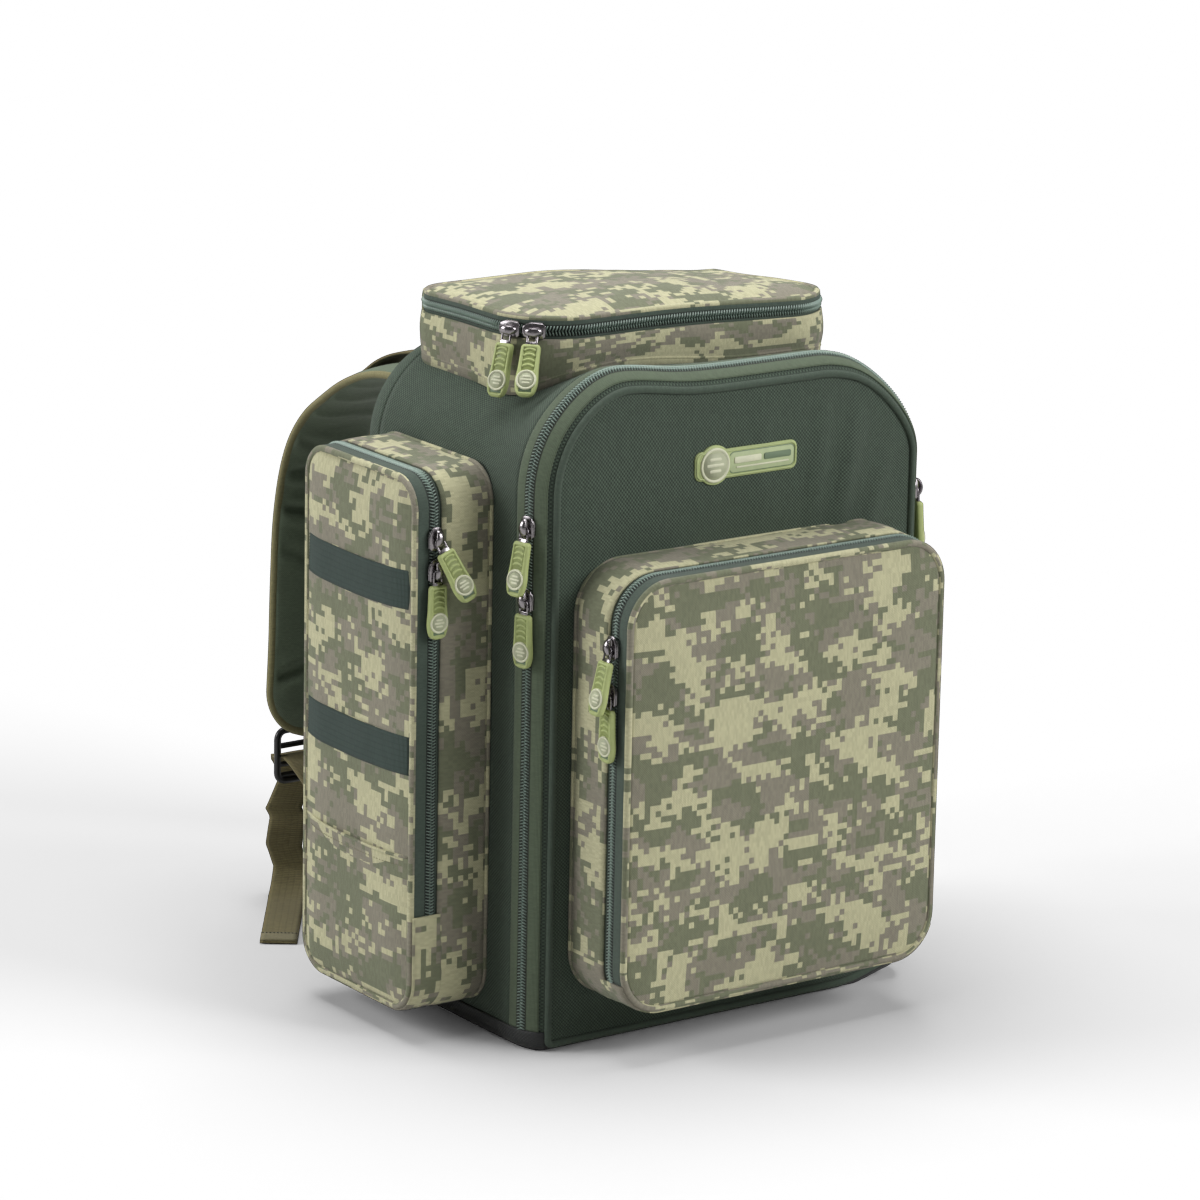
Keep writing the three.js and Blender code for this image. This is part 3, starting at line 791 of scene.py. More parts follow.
def rim_slack(p):
    """The bag's front rim stands up at its left corner and hangs at the right; its front right foot is lifted."""
    p = np.array(p, float)
    x, y, z = (p[..., k] / MM for k in range(3))
    lift = 4.5 + 7.5 * np.exp(-(((x + 98) / 42) ** 2)) - 16 * smooth((x - 72) / 80)
    p[..., 2] += (lift * smooth((-y - 50) / 50) - shoulder_sag(x, y)) * smooth((z - 370) / 75) * MM
    p[..., 2] += 13 * smooth((x - 100) / 66) * smooth((60 - z) / 58) * smooth((-y - 55) / 55) * MM
    return p


def lid_slack(p):
    """The lid pocket slumps towards its right and rear."""
    p = np.array(p, float)
    x, y, z = (p[..., k] / MM for k in range(3))
    drop = 7 * smooth((x + 40) / 178) * (1 + 1.2 * smooth((y + 56) / 154)) + 2 * smooth((y - 20) / 78)
    p[..., 2] -= drop * np.clip((z - 464) / 44, 0, 1) * MM
    return p


main.slack = rim_slack
lid.slack = lid_slack


def build_base():
    points, normals = low_run(main, main.hinge)
    rim, far = main.edge_deep, main.depth
    depths = np.concatenate([np.linspace(0, rim, 9)[:-1], np.linspace(rim, far - rim, 20),
                             np.linspace(far - rim, far, 9)[1:]])
    sheet = []
    for z in depths:
        inset = float(main.inset(z) + main.inset(far - z)) - 0.9 * MM
        sheet.append(main.world(np.column_stack([points - normals * inset, np.full(len(points), z)])))
    sheet = np.transpose(sheet, (1, 0, 2))
    sheet[..., 2] = np.maximum(sheet[..., 2], 2.0 * MM)
    made = grid("base_tray", sheet, BLACK_CLOTH, arc_lengths(points), depths, flip=True)
    thicken(made, 1.6 * MM)
    settle([made], "bag", "base_panel")


def build_main():
    shell = wall("main_gusset", main, 26 * MM, main.zip - 11.5 * MM, GREEN, puff=-1.2 * MM, crease=1.6 * MM, seed=2.0)
    settle([shell], "bag", "main_shell")
    rear = main_block(LEFT, BACK)
    bend = wall("main_rear_edge", rear, rear.depth - 26 * MM, rear.depth - 0.3 * MM, GREEN, thick=1.8 * MM, rows=8)
    back = face("main_back", rear, GREEN, 1.0 * MM, 0.6 * MM, drop=0.4 * MM, seed=4)
    edge = piping("main_back_piping", rear, PIPING, 1.9 * MM, rear.edge_in * 0.86, rear.depth - 0.6 * MM)
    settle([bend, back, edge], "bag")
    panel = face("main_front_panel", main, GREEN, 1.8 * MM, 1.6 * MM, inset=main.edge_in * 0.97, drop=2.2 * MM, seed=1,
                 cells=(84, 96), folds=pulled_folds)
    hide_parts("main_flap")
    cord = piping("main_front_piping", main, PIPING, 2.7 * MM, main.edge_in * 0.83, main.depth + 0.1 * MM)
    bend_at_hinge([panel, cord], main, "main_flap", 5 * MM, 8 * MM)
    fold = wall("main_front_fold", main, main.zip + 1.2 * MM, main.depth - 0.2 * MM, GREEN, main.hinge,
                thick=1.2 * MM, rows=7, lift=-0.6 * MM)
    settle([fold], "main_flap")
    zip_half("main_zip_rear", main, False, "bag", "main_zip_shell_half", 12 * MM, tape=MAIN_TAPE)
    zip_half("main_zip_front", main, True, "main_flap", "main_zip_flap_half", 12.2 * MM, tape=MAIN_TAPE,
             sewn=(8.8 * MM, 1.15 * MM))


POCKET_FACE = (4.2 * MM, 1.8 * MM, 4.0 * MM, 2.6 * MM)  # puff, crease, inset and drop


INNER_TAPE = dict(width=8 * MM, level=-0.9 * MM, sewn=(7.4 * MM, 0.4 * MM), thread=THREAD_KHAKI)


def build_pocket(name, block, key, body):
    """A camouflage pocket: gusset, piped face, zip, and the seam that holds it to the bag."""
    print_here, flap = CAMO[key], f"{name}_flap"
    gusset = wall(f"{name}_gusset", block, 1.5 * MM, block.zip - 6 * MM, print_here, puff=0.8 * MM, crease=1.6 * MM,
                  seed=len(name))
    seam = piping(f"{name}_flange", block, print_here, 1.7 * MM, -1.2 * MM, 2.0 * MM)
    settle([gusset, seam], body, f"{name}_shell")
    panel = face(f"{name}_panel", block, print_here, *POCKET_FACE, seed=len(name) + 3)
    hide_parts(flap)
    cord = piping(f"{name}_piping", block, print_here, 2.6 * MM, 2.3 * MM, block.depth - 1.2 * MM)
    bend_at_hinge([panel, cord], block, flap, 7 * MM, 9 * MM)
    zip_half(f"{name}_zip_inner", block, False, body, f"{name}_zip_shell_half", **INNER_TAPE)
    zip_half(f"{name}_zip_outer", block, True, flap, f"{name}_zip_flap_half", block.depth - block.zip - 1.2 * MM,
             level=-0.5 * MM)
    lower_gusset(f"{name}_lower_gusset", block, key, body)


def lower_gusset(name, block, key, body):
    """The plain cloth that closes a pocket's gusset below the ends of its zip, over the last 4 mm of its tapes."""
    points, normals = low_run(block, block.hinge + 4 * MM)
    depths = np.linspace(block.zip - 11 * MM, block.depth - 1.2 * MM, 6)
    sheet = np.transpose([block.place(points, normals, z, 0.6 * MM)[0] for z in depths], (1, 0, 2))
    made = grid(name, sheet, CAMO[key], arc_lengths(points) + 0.2, depths, flip=True)
    thicken(made, 1.4 * MM)
    settle([made], body)


build_base()
build_main()
build_pocket("front_pocket", front, "front", "main_flap")
for side, block in sides.items():
    build_pocket(f"{side}_pocket", block, side, "bag")


def build_lid():
    printed = CAMO["lid"]
    panel = face("lid_panel", lid, printed, 5.6 * MM, 1.8 * MM, inset=4.0 * MM, drop=2.4 * MM, seed=9)
    cord = piping("lid_piping", lid, printed, 2.5 * MM, 2.2 * MM, lid.depth - 1.2 * MM)
    settle([panel, cord], "lid_flap", "lid_flap")
    zip_half("lid_zip_lower", lid, False, "bag", "lid_zip_shell_half", **INNER_TAPE)
    zip_half("lid_zip_upper", lid, True, "lid_flap", "lid_zip_flap_half", 7.8 * MM, level=-0.3 * MM)
    lower_gusset("lid_rear_gusset", lid, "lid", "bag")
    # The wall follows the rounded top of the bag, and its foot is hidden inside it.
    points, normals = lid.loop(4 * MM)
    outs = lid.turn(np.column_stack([normals, np.zeros(len(normals))]))
    top, rows, sheet = lid.origin[2] + lid.zip - 6 * MM, 8, []
    for p, out in zip(points, outs):
        x, y, _ = lid.world([p[0], p[1], 0])
        over = max(0.0, abs(x) - (main.width / 2 - main.top))
        bag_top = main.height - main.top + math.sqrt(max(0, main.top ** 2 - over ** 2))
        bag_top -= shoulder_sag(x / MM, y / MM) * MM
        column = [np.array([x, y, bag_top - 8 * MM])]
        for k in range(rows + 1):
            z = bag_top - 1.5 * MM + (top - bag_top + 1.5 * MM) * k / rows
            swell = math.sin(math.pi * k / rows)
            q = np.array([x, y, z]) + out * (1.6 * MM * swell)
            column.append(q + out * (1.1 * MM * ripple(q, 0.04, 3.3) * swell))
        sheet.append(column)
    sheet = lid_slack(sheet)
    made = grid("lid_wall", sheet, printed, arc_lengths(np.vstack([points, points[:1]])),
                np.linspace(-6 * MM, 40 * MM, rows + 2), closed=True, flip=True)
    thicken(made, 1.6 * MM, lining=LINING)
    seam = tube("lid_foot_seam", sheet[:, 1] + outs * 0.6 * MM, outs, 1.5 * MM, printed, closed=True, sides=8)
    settle([made, seam], "bag", "lid_shell")


build_lid()

# ---------------------------------------------------------------- zip sliders and pulls


def lathe(profile, material, name, sides=36):
    """A closed round piece about z from (radius, height) pairs that start and end on the axis."""
    vertices, faces = [], []
    rings = []
    for r, z in profile:
        if r < 1e-6:
            rings.append([len(vertices)])
            vertices.append((0, 0, z * MM))
        else:
            rings.append(list(range(len(vertices), len(vertices) + sides)))
            angles = [2 * math.pi * k / sides for k in range(sides)]
            vertices += [(r * MM * math.cos(a), r * MM * math.sin(a), z * MM) for a in angles]
    for a, b in zip(rings, rings[1:]):
        for k in range(sides):
            j = (k + 1) % sides
            if len(a) == 1:
                faces.append((a[0], b[j], b[k]))
            elif len(b) == 1:
                faces.append((a[k], a[j], b[0]))
            else:
                faces.append((a[k], a[j], b[j], b[k]))
    return mesh_object(name, vertices, faces, material)


def prism(name, outline, low, high, material, width):
    """An outline (x, y in mm) made solid between two heights, with edges rounded over a width."""
    outline = [p for k, p in enumerate(outline) if math.dist(p, outline[k - 1]) > 1e-6]
    n = len(outline)
    vertices = [(x * MM, y * MM, z * MM) for z in (low, high) for x, y in outline]
    faces = [tuple(range(n))[::-1], tuple(range(n, 2 * n))]
    faces += [(k, (k + 1) % n, n + (k + 1) % n, n + k) for k in range(n)]
    made = mesh_object(name, vertices, faces, material, smooth=False)
    rounding = made.modifiers.new("rounding", "BEVEL")
    rounding.width = width * MM
    rounding.segments = 2
    rounding.limit_method = "ANGLE"
    rounding.angle_limit = math.radians(30)
    apply(made, rounding)
    made.data.polygons.foreach_set("use_smooth", [True] * len(made.data.polygons))
    return made


def roundel(x, y, rim, field, bars, bar_top, rounding):
    """A raised cream rim round a grey field with three cream bars; rim and field are lathe profiles."""
    parts = [lathe(rim[::-1], CREAM, "rim"), lathe(field[::-1], DISC_GREY, "field")]
    parts += [prism("bar", rounded(*bar), 2.4, bar_top, CREAM, rounding) for bar in bars]
    for o in parts:
        edit(o, outwards)
        o.data.transform(Matrix.Translation((x * MM, y * MM, 0)))
    return parts


def slider_model(name):
    shield = [(-4.0, -8.3), (-5.4, -6.6), (-5.9, -1), (-5.7, 3.2), (-4.1, 7.2), (-1.8, 8.4),
              (1.8, 8.4), (4.1, 7.2), (5.7, 3.2), (5.9, -1), (5.4, -6.6), (4.0, -8.3)]
    parts = [prism("plate", shield, 2.7, 4.3, METAL, 0.55)]
    for side in (-1, 1):
        rail = [(side * x, y) for x, y in ((4.7, -7.0), (5.9, -6.2), (6.1, 2.2), (5.0, 5.4), (4.2, 5.2), (5.1, 1.8))]
        parts.append(prism("rail", rail[::side], 0.9, 3.2, METAL, 0.3))
    angles = np.linspace(0, math.pi, 19)
    arch = np.array([[0, -6.3 * math.cos(a) + 0.6 * math.sin(a), 3.7 + 5.0 * math.sin(a) ** 0.8] for a in angles]) * MM
    out = np.array([[0, -math.cos(a), math.sin(a) + 0.05] for a in angles])
    swell = [0.9 + 1.15 * math.sin(a) ** 1.5 * (0.62 + 0.38 * math.cos(a)) for a in angles]
    parts.append(tube("arch", arch, out, 1.9 * MM, METAL, sides=16, flat=0.42, squeeze=swell))
    return edit(join(name, parts), outwards)


GRIP_WIDTH = [  # y along a pull's rubber grip and half its width there, in mm
    (-48, 3.2), (-47.4, 4.6), (-46, 6.1), (-43.5, 7.2), (-40, 7.9), (-36.3, 8.1), (-32, 7.7), (-28, 7.3), (-20, 7.0),
    (-12, 6.8), (-10.6, 6.4), (-9.8, 5.6),
]
GRIP_ROWS = [-9.8, -10.3, -11.0, -12.0, -12.4, -16, -20, -24, -28, -31, -34, -37, -40, -43, -45.2, -45.6, -46.6, -47.5,
             -48.0]
CHANNEL_EDGES = (4.9, 4.6, 2)


def pull_grip():
    """A pull's moulded grip, with a sunken channel along its front face between its rounded ends."""
    body = []
    for y in GRIP_ROWS:
        w = float(np.interp(y, *zip(*GRIP_WIDTH)))
        end = max(0.35, min(1, (y + 48.2) / 1.6, (-9.5 - y) / 1.3))
        t = 2.55 * end ** 0.5
        floor = t - (0.85 if -45.4 < y < -12.2 else 0.0)
        section = [(-w, -t * 0.55), (-w, t * 0.55), (-w + 0.7, t * 0.93), (-w + 1.5, t), (-4.9, t), (-4.6, floor),
                   (-2, floor), (2, floor), (4.6, floor), (4.9, t), (w - 1.5, t), (w - 0.7, t * 0.93), (w, t * 0.55),
                   (w, -t * 0.55), (w - 0.7, -t * 0.93), (w - 1.5, -t), (0, -t), (-w + 1.5, -t), (-w + 0.7, -t * 0.93)]
        shrink = min(1, (w - 1.6) / 4.95)
        body.append([((x * shrink if abs(x) in CHANNEL_EDGES else x) * MM, y * MM, z * MM) for x, z in section])
    rows, count = len(body), len(body[0])
    faces = [(i * count + k, i * count + (k + 1) % count, (i + 1) * count + (k + 1) % count, (i + 1) * count + k)
             for i in range(rows - 1) for k in range(count)]
    faces += [tuple(range(count))[::-1], tuple((rows - 1) * count + k for k in range(count))]
    return edit(mesh_object("grip", np.array(body).reshape(-1, 3), faces, RUBBER), outwards)


def pull_model(name):
    """A zip pull about its pivot, hanging along -y with its face towards z."""
    path = [(3.3, -8.6), (3.35, -5.5), (3.2, -2.4), (2.6, -0.7), (1.3, 0)]
    path = path + [(0, 0.15)] + [(-x, y) for x, y in path[::-1]]
    ring = resample(np.array([(x, y, 0) for x, y in path]) * MM, 0.8 * MM)[0]
    parts = [tube("ring", ring, np.tile([0, 0, 1.0], (len(ring), 1)), 0.85 * MM, METAL, sides=8, flat=0.8)]
    plate = [(-4.1, -12.5), (4.1, -12.5), (4.1, -8.2), (3.2, -7.4), (-3.2, -7.4), (-4.1, -8.2)]
    parts += [prism("tab", plate, -0.65, 0.65, METAL, 0.25), pull_grip()]
    # The channel's floor is a darker rubber: painted shade in the recess.
    recess = [(-4.5, -28.8), (4.5, -28.8), (4.5, -12.6), (-4.5, -12.6)]
    parts.append(prism("recess", recess, 1.0, 1.78, RUBBER_RECESS_SHADE, 0.05))
    for y in (-14.6, -18.5, -22.4, -26.3):
        line = np.array([(x, y + 1.5 - 0.085 * x * x, 1.75) for x in np.linspace(-4.3, 4.3, 9)]) * MM
        parts.append(tube("rib", line, np.tile([0, 0, 1.0], (9, 1)), 0.95 * MM, RUBBER, sides=8, flat=0.8))
    # A darker strip across the channel just below the disc: painted shadow of the disc.
    shade = [(-4.5, -44.9), (4.5, -44.9), (4.5, -42.6), (-4.5, -42.6)]
    parts.append(prism("tip", shade, 1.2, 1.95, RUBBER_DARK, 0.2))
    rim = [(0, 1.2), (7.3, 1.2), (7.3, 2.8), (6.95, 3.2), (6.2, 3.2), (5.9, 2.75), (5.7, 2.6), (0, 2.6)]
    field = [(0, 2.2), (5.75, 2.2), (5.75, 2.66), (0, 2.66)]
    bars = [(w, 1.3, 0.6, 0, y) for w, y in ((5.6, 2.3), (8.2, 0), (5.6, -2.3))]
    return join(name, parts + roundel(0, -36.3, rim, field, bars, 3.05, 0.2))


LID_CORNER = (-0.088, -0.006)  # the centre of the turn the lid's zip makes at its front left
SLIDER_DEPTH = 5.75 * MM  # from a slider's pivot in to the middle of its zip


def build_sliders():
    swings = {j["name"]: j for j in frame["joints"]}
    share = 1 - (main.depth - main.zip) / main.edge_deep
    rim_x, rim_y = math.sqrt(1 - share * share) / main.edge_in, share / main.edge_deep
    outward = {"main_left": (-rim_x, -rim_y, 0), "main_right": (rim_x, -rim_y, 0), "front_pocket": LEFT,
               "left_pocket": FORE, "right_pocket": FORE}
    for body in sorted(b for b in frame["bodies"] if b.endswith("_pull")):
        name = body.removesuffix("_pull")
        on_lid = name.startswith("lid")
        swing = swings[f"{body}_swing"]
        pivot = np.array(swing["pos_m"], float)
        if on_lid:
            out = unit(pivot - np.array([*LID_CORNER, pivot[2]]))
        else:
            out = unit(np.array(next(v for k, v in outward.items() if name.startswith(k)), float))
        up = np.array([0, 0, 1.0])
        along = -np.cross(up, out) if on_lid else up
        made = slider_model(f"{name}_slider_visual")
        made.data.transform(basis(np.cross(along, out), along, out, pivot - out * SLIDER_DEPTH))
        settle([made], f"{name}_slider", f"{name}_slider")
        x = -np.array(swing["axis"], float)
        y = unit(pivot - np.mean([tuple(v.co) for v in bpy.data.objects[body].data.vertices], axis=0))
        y = unit(y - x * (x @ y))
        pull = pull_model(f"{name}_pull_visual")
        pull.data.transform(basis(x, y, np.cross(x, y), pivot))
        settle([pull], body, body)


build_sliders()

# ---------------------------------------------------------------- badge, webbing loops and slip pockets


def build_badge():
    """The moulded badge, face towards z while it is made: a long plate, a round one on its left and plain bars."""
    low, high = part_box("badge")
    middle = (Vector(low) + Vector(high)) / 2
    parts = [prism("plate", rounded(89, 21, 5.5), 0.0, 1.9, BADGE_GREEN, 0.4),
             prism("round", rounded(28.6, 28.6, 14.3, -27.5, 0, 12), -0.1, 2.1, BADGE_GREEN, 0.5),
             prism("field", rounded(56, 14.5, 3.5, 13.5, 0), 1.2, 2.15, BADGE_FIELD, 0.2),
             prism("line", rounded(57.4, 15.9, 4.2, 13.5, 0), 1.2, 2.0, RUBBER_DARK, 0.2)]
    edge = np.array([(x, y, 1.95) for x, y in rounded(86, 18, 4.4)]) * MM
    parts.append(tube("rim", edge, np.tile([0, 0, 1.0], (len(edge), 1)), 0.75 * MM, BADGE_GREEN, closed=True, sides=8))
    rim = [(0, 1.0), (12.6, 1.0), (12.6, 2.8), (12.1, 3.2), (10.9, 3.2), (10.5, 2.6), (0, 2.6)]
    field = [(0, 2.2), (10.4, 2.2), (10.4, 2.68), (0, 2.68)]
    bars = [(w, 2.2, 1, 0, y) for w, y in ((10, 4.2), (15, 0), (10, -4.2))]
    parts += roundel(-27.5, 0, rim, field, bars, 3.1, 0.25)
    parts += [prism("bar", rounded(23.5, 4.6, 1.2, x, 1.6), 1.9, 2.75, colour, 0.2)
              for x, colour in ((1, CREAM), (27, RUBBER_DARK))]
    parts.append(prism("underline", rounded(46, 1.2, 0.5, 14, -3.6), 1.9, 2.6, CREAM, 0.15))
    made = join("badge_visual", parts)
    made.data.transform(basis(RIGHT, UP, FORE, (middle.x, high.y - 0.9 * MM, middle.z)))
    settle([made], "main_flap", "badge")


build_badge()


def strip(name, line, across, width, thick, material, crown=0.0, columns=8):
    """Flat webbing along a line of points: across gives its width direction at each point, thick its thickness."""
    line = np.asarray(line, float)
    across = unit(across)
    normal = unit(np.cross(across, tangents(line, False)))
    xs = np.linspace(-1, 1, columns + 1)
    sheet = np.stack([line + across * (x * width / 2) + normal * (crown * (1 - x * x)) for x in xs], 1)
    made = grid(name, sheet, material, arc_lengths(line), xs * width / 2)
    thicken(made, thick, 0.0)
    return made


def band(name, block, y, half, width, surface, body, node):
    """A webbing loop sewn to a pocket's face at its two ends, a little slack between."""
    line = []
    for x in np.linspace(-half, half, 41):
        slack = math.sin(math.pi * (x + half) / (2 * half)) * 2 * half
        line.append((x, y - 0.012 * slack, surface(x, y) + 1.6 * MM + 0.01 * slack))
    ups = np.tile(block.turn([0, 1, 0]), (len(line), 1))
    made = strip(name, block.world(np.array(line)), ups, width, 1.3 * MM, BAND, columns=10)
    settle([made], body, node)
    for k, x in enumerate((2 * MM - half, half - 2 * MM)):
        ys = np.linspace(y - width / 2 + 1.2 * MM, y + width / 2 - 1.2 * MM, 8)
        row = block.world(np.array([(x, v, surface(x, y) + 2.5 * MM) for v in ys]))
        outs = np.tile(block.turn([0, 0, 1.0]), (8, 1))
        thread = stitches(f"{name}_stitches_{k}", row, outs, THREAD_DARK, 2.4 * MM, 1.9 * MM, 0.3 * MM)
        settle([thread], body)


SLIP_MOUTH = 116 * MM  # height of an open pocket's mouth over the bottom of the face it is sewn to


def slip_pocket(name, block, key, surface, body, node):
    """An open pocket of the face's own cloth: a hemmed mouth that stands a little away from the face."""
    low, half = block.hinge + 1.5 * MM, block.width / 2 - 4.5 * MM
    rows, columns, sheet = 12, 30, []
    for j in range(rows + 1):
        y, line = low + (SLIP_MOUTH - low) * j / rows, []
        for i in range(columns + 1):
            x = -half + 2 * half * i / columns
            middle = 1 - (x / half) ** 2
            open_by = middle * (j / rows) ** 2 * 3.2 * MM
            line.append((x, y - middle * (j / rows) * 1.5 * MM, surface(x, y) + 0.8 * MM + open_by))
        sheet.append(line)
    sheet = np.array(sheet)
    flat = sheet[..., :2].copy()
    flat[..., 1] = np.linspace(low, SLIP_MOUTH, rows + 1)[:, None]
    made = grid(name, block.world(sheet), CAMO[key], None, None, flip=True, uv=flat + [0.31, 0.17])
    thicken(made, 1.1 * MM, 1.0)
    mouth = block.world(sheet[-1] + [0, 0, 0.6 * MM])
    out = np.tile(block.turn([0, 0, 1.0]), (len(mouth), 1))
    hem = tube(f"{name}_hem", mouth, out, 1.15 * MM, CAMO[key], sides=8)
    sewn = sheet[-1] * [0.97, 1, 1] + [0, -6.5 * MM, 1.35 * MM]
    thread = stitches(f"{name}_stitches", block.world(sewn), out, THREAD_KHAKI)
    settle([made, hem, thread], body, node)


for side, block in sides.items():
    seed = len(f"{side}_pocket") + 3
    surface = relief(block, *POCKET_FACE, seed)
    flap = f"{side}_pocket_flap"
    for level, y in (("upper", 310 * MM), ("lower", 190 * MM)):
        band(f"{side}_{level}_band", block, y, 66 * MM, 28 * MM, surface, flap, f"{side}_{level}_gear_loop")
    slip_pocket(f"{side}_slip", block, side, surface, flap, f"{side}_slip_pocket")

# ---------------------------------------------------------------- harness


INFLATE_FRAMES = 20


def inflate(o, pressure, limit, held):
    """Blow a closed fabric shell up between its sewn lines by cloth simulation; held(i, point) says what is sewn."""
    scene = bpy.context.scene
    start = np.array([tuple(v.co) for v in o.data.vertices])
    trial = bpy.data.objects.new(f"{o.name}_trial", o.data.copy())
    bpy.context.collection.objects.link(trial)
    sewn = trial.vertex_groups.new(name="sewn")
    sewn.add([i for i, p in enumerate(start) if held(i, p)], 1.0, "REPLACE")
    cloth_run = trial.modifiers.new("cloth", "CLOTH")
    settings = cloth_run.settings
    settings.quality = 6
    settings.mass = 0.3
    settings.tension_stiffness = settings.compression_stiffness = 12
    settings.bending_stiffness = 0.4
    settings.effector_weights.gravity = 0
    settings.use_pressure = True
    settings.uniform_pressure_force = pressure
    settings.vertex_group_mass = "sewn"
    cloth_run.collision_settings.use_collision = False
    cloth_run.point_cache.frame_start, cloth_run.point_cache.frame_end = 1, INFLATE_FRAMES
    for number in range(1, INFLATE_FRAMES + 1):
        scene.frame_set(number)
    solved = trial.evaluated_get(bpy.context.evaluated_depsgraph_get()).to_mesh()
    move = np.array([tuple(v.co) for v in solved.vertices]) - start
    far = np.linalg.norm(move, axis=1, keepdims=True)
    if not np.isfinite(far).all():
        raise ValueError(f"the cloth of {o.name} blew up")
    move *= np.minimum(1, limit / np.maximum(far, 1e-9))
    o.data.vertices.foreach_set("co", (start + move).ravel())
    o.data.update()
    bpy.data.objects.remove(trial)
    scene.frame_set(1)


def spline(points, count):
    """Centripetal Catmull-Rom line through points, evenly spaced."""
    points = [np.asarray(p, float) for p in points]
    points = [2 * points[0] - points[1]] + points + [2 * points[-1] - points[-2]]
    line = []
    for a, b, c, d in zip(points, points[1:], points[2:], points[3:]):
        ta = 0.0
        tb = ta + max(np.linalg.norm(b - a), 1e-9) ** 0.5
        tc = tb + max(np.linalg.norm(c - b), 1e-9) ** 0.5
        td = tc + max(np.linalg.norm(d - c), 1e-9) ** 0.5
        for t in np.linspace(tb, tc, 12, endpoint=False):
            a1 = (tb - t) / (tb - ta) * a + (t - ta) / (tb - ta) * b
            a2 = (tc - t) / (tc - tb) * b + (t - tb) / (tc - tb) * c
            a3 = (td - t) / (td - tc) * c + (t - tc) / (td - tc) * d
            b1 = (tc - t) / (tc - ta) * a1 + (t - ta) / (tc - ta) * a2
            b2 = (td - t) / (td - tb) * a2 + (t - tb) / (td - tb) * a3
            line.append((tc - t) / (tc - tb) * b1 + (t - tb) / (tc - tb) * b2)
    line.append(points[-2])
    line = np.array(line)
    lengths = arc_lengths(line)
    at = np.linspace(0, lengths[-1], count)
    return np.stack([np.interp(at, lengths, line[:, k]) for k in range(line.shape[1])], 1)


# Lines of the harness as y and z in mm, from the bag backwards; the tail's y is from the ladder lock.
STRAP_LINE = [(115.8, 431), (140, 432.5), (165, 431), (190, 425), (215, 414), (237, 400), (258, 384), (274, 363),
              (283, 338), (287, 300), (284, 252), (279, 203), (276, 160), (274, 132)]
LIFTER_LINE = [(115.8, 450), (135, 449.5), (160, 446), (185, 439.5), (205, 430.5), (219.4, 420.8), (238, 408.8)]
LOWER_LINE = [(115.8, 18), (140, 25), (165, 37), (190, 53), (225, 78), (262, 103), (286, 112), (297, 108)]
TAIL_LINE = [(0, 109), (6, 98), (3, 76), (-6, 52), (-3, 30), (-10, 12), (-26, 3), (-50, 1.3), (-90, 1.3), (-132, 1.3)]
TAIL_TURN = math.pi / 5.1
TAIL_START = 0.2955
TAIL_WIDTH = 0.0276
# Distance down the tail and how far it swings outwards there, in mm.
TAIL_SWAY = [(0, 0), (4, 0), (20, 6), (46, -4), (53, -0.5), (76, -3.5), (94, 2.5), (122, 0), (260, 0)]
# Height, depth and width in mm of each sharp crease in a strap's inner face, and how far it leans across it.
STRAP_CREASES = [(352, 2.6, 4.0, 0.25), (334, 4.2, 3.6, -0.1), (301, 5.2, 3.6, 0.05), (262, 2.4, 4.5, 0.3),
                 (186, 4.6, 4.2, -0.35)]


def strap_point(side, y, z):
    return (side * (85 + 0.09 * (432 - z)) * MM, y * MM, z * MM)


def crease(pad, middle, along, across, normal, lengths):
    """Press the sharp creases of a strap that has been folded into its inner face, each leaning across it."""
    places = np.array([tuple(v.co) for v in pad.data.vertices])
    near = np.array([int(np.argmin(((middle - p) ** 2).sum(axis=1))) for p in places])
    away = places - middle[near]
    s = lengths[near] + (away * along[near]).sum(axis=1)
    x = (away * across[near]).sum(axis=1)
    inner = np.clip(-(away * normal[near]).sum(axis=1) / (4 * MM), 0, 1)
    press = np.zeros(len(s))
    for z, depth, width, lean in STRAP_CREASES:
        at = lengths[int(np.argmin(np.abs(middle[:, 2] - z * MM) + (middle[:, 1] < 0.25)))]
        off = (s - at - lean * x) / (width * MM)
        press += depth * MM * (np.exp(-off ** 2) - 0.35 * np.exp(-((np.abs(off) - 2.3) / 1.1) ** 2))
    press *= inner * np.clip((31 * MM - np.abs(x)) / (6 * MM), 0, 1)
    pad.data.vertices.foreach_set("co", (places + normal[near] * press[:, None]).ravel())
    pad.data.update()


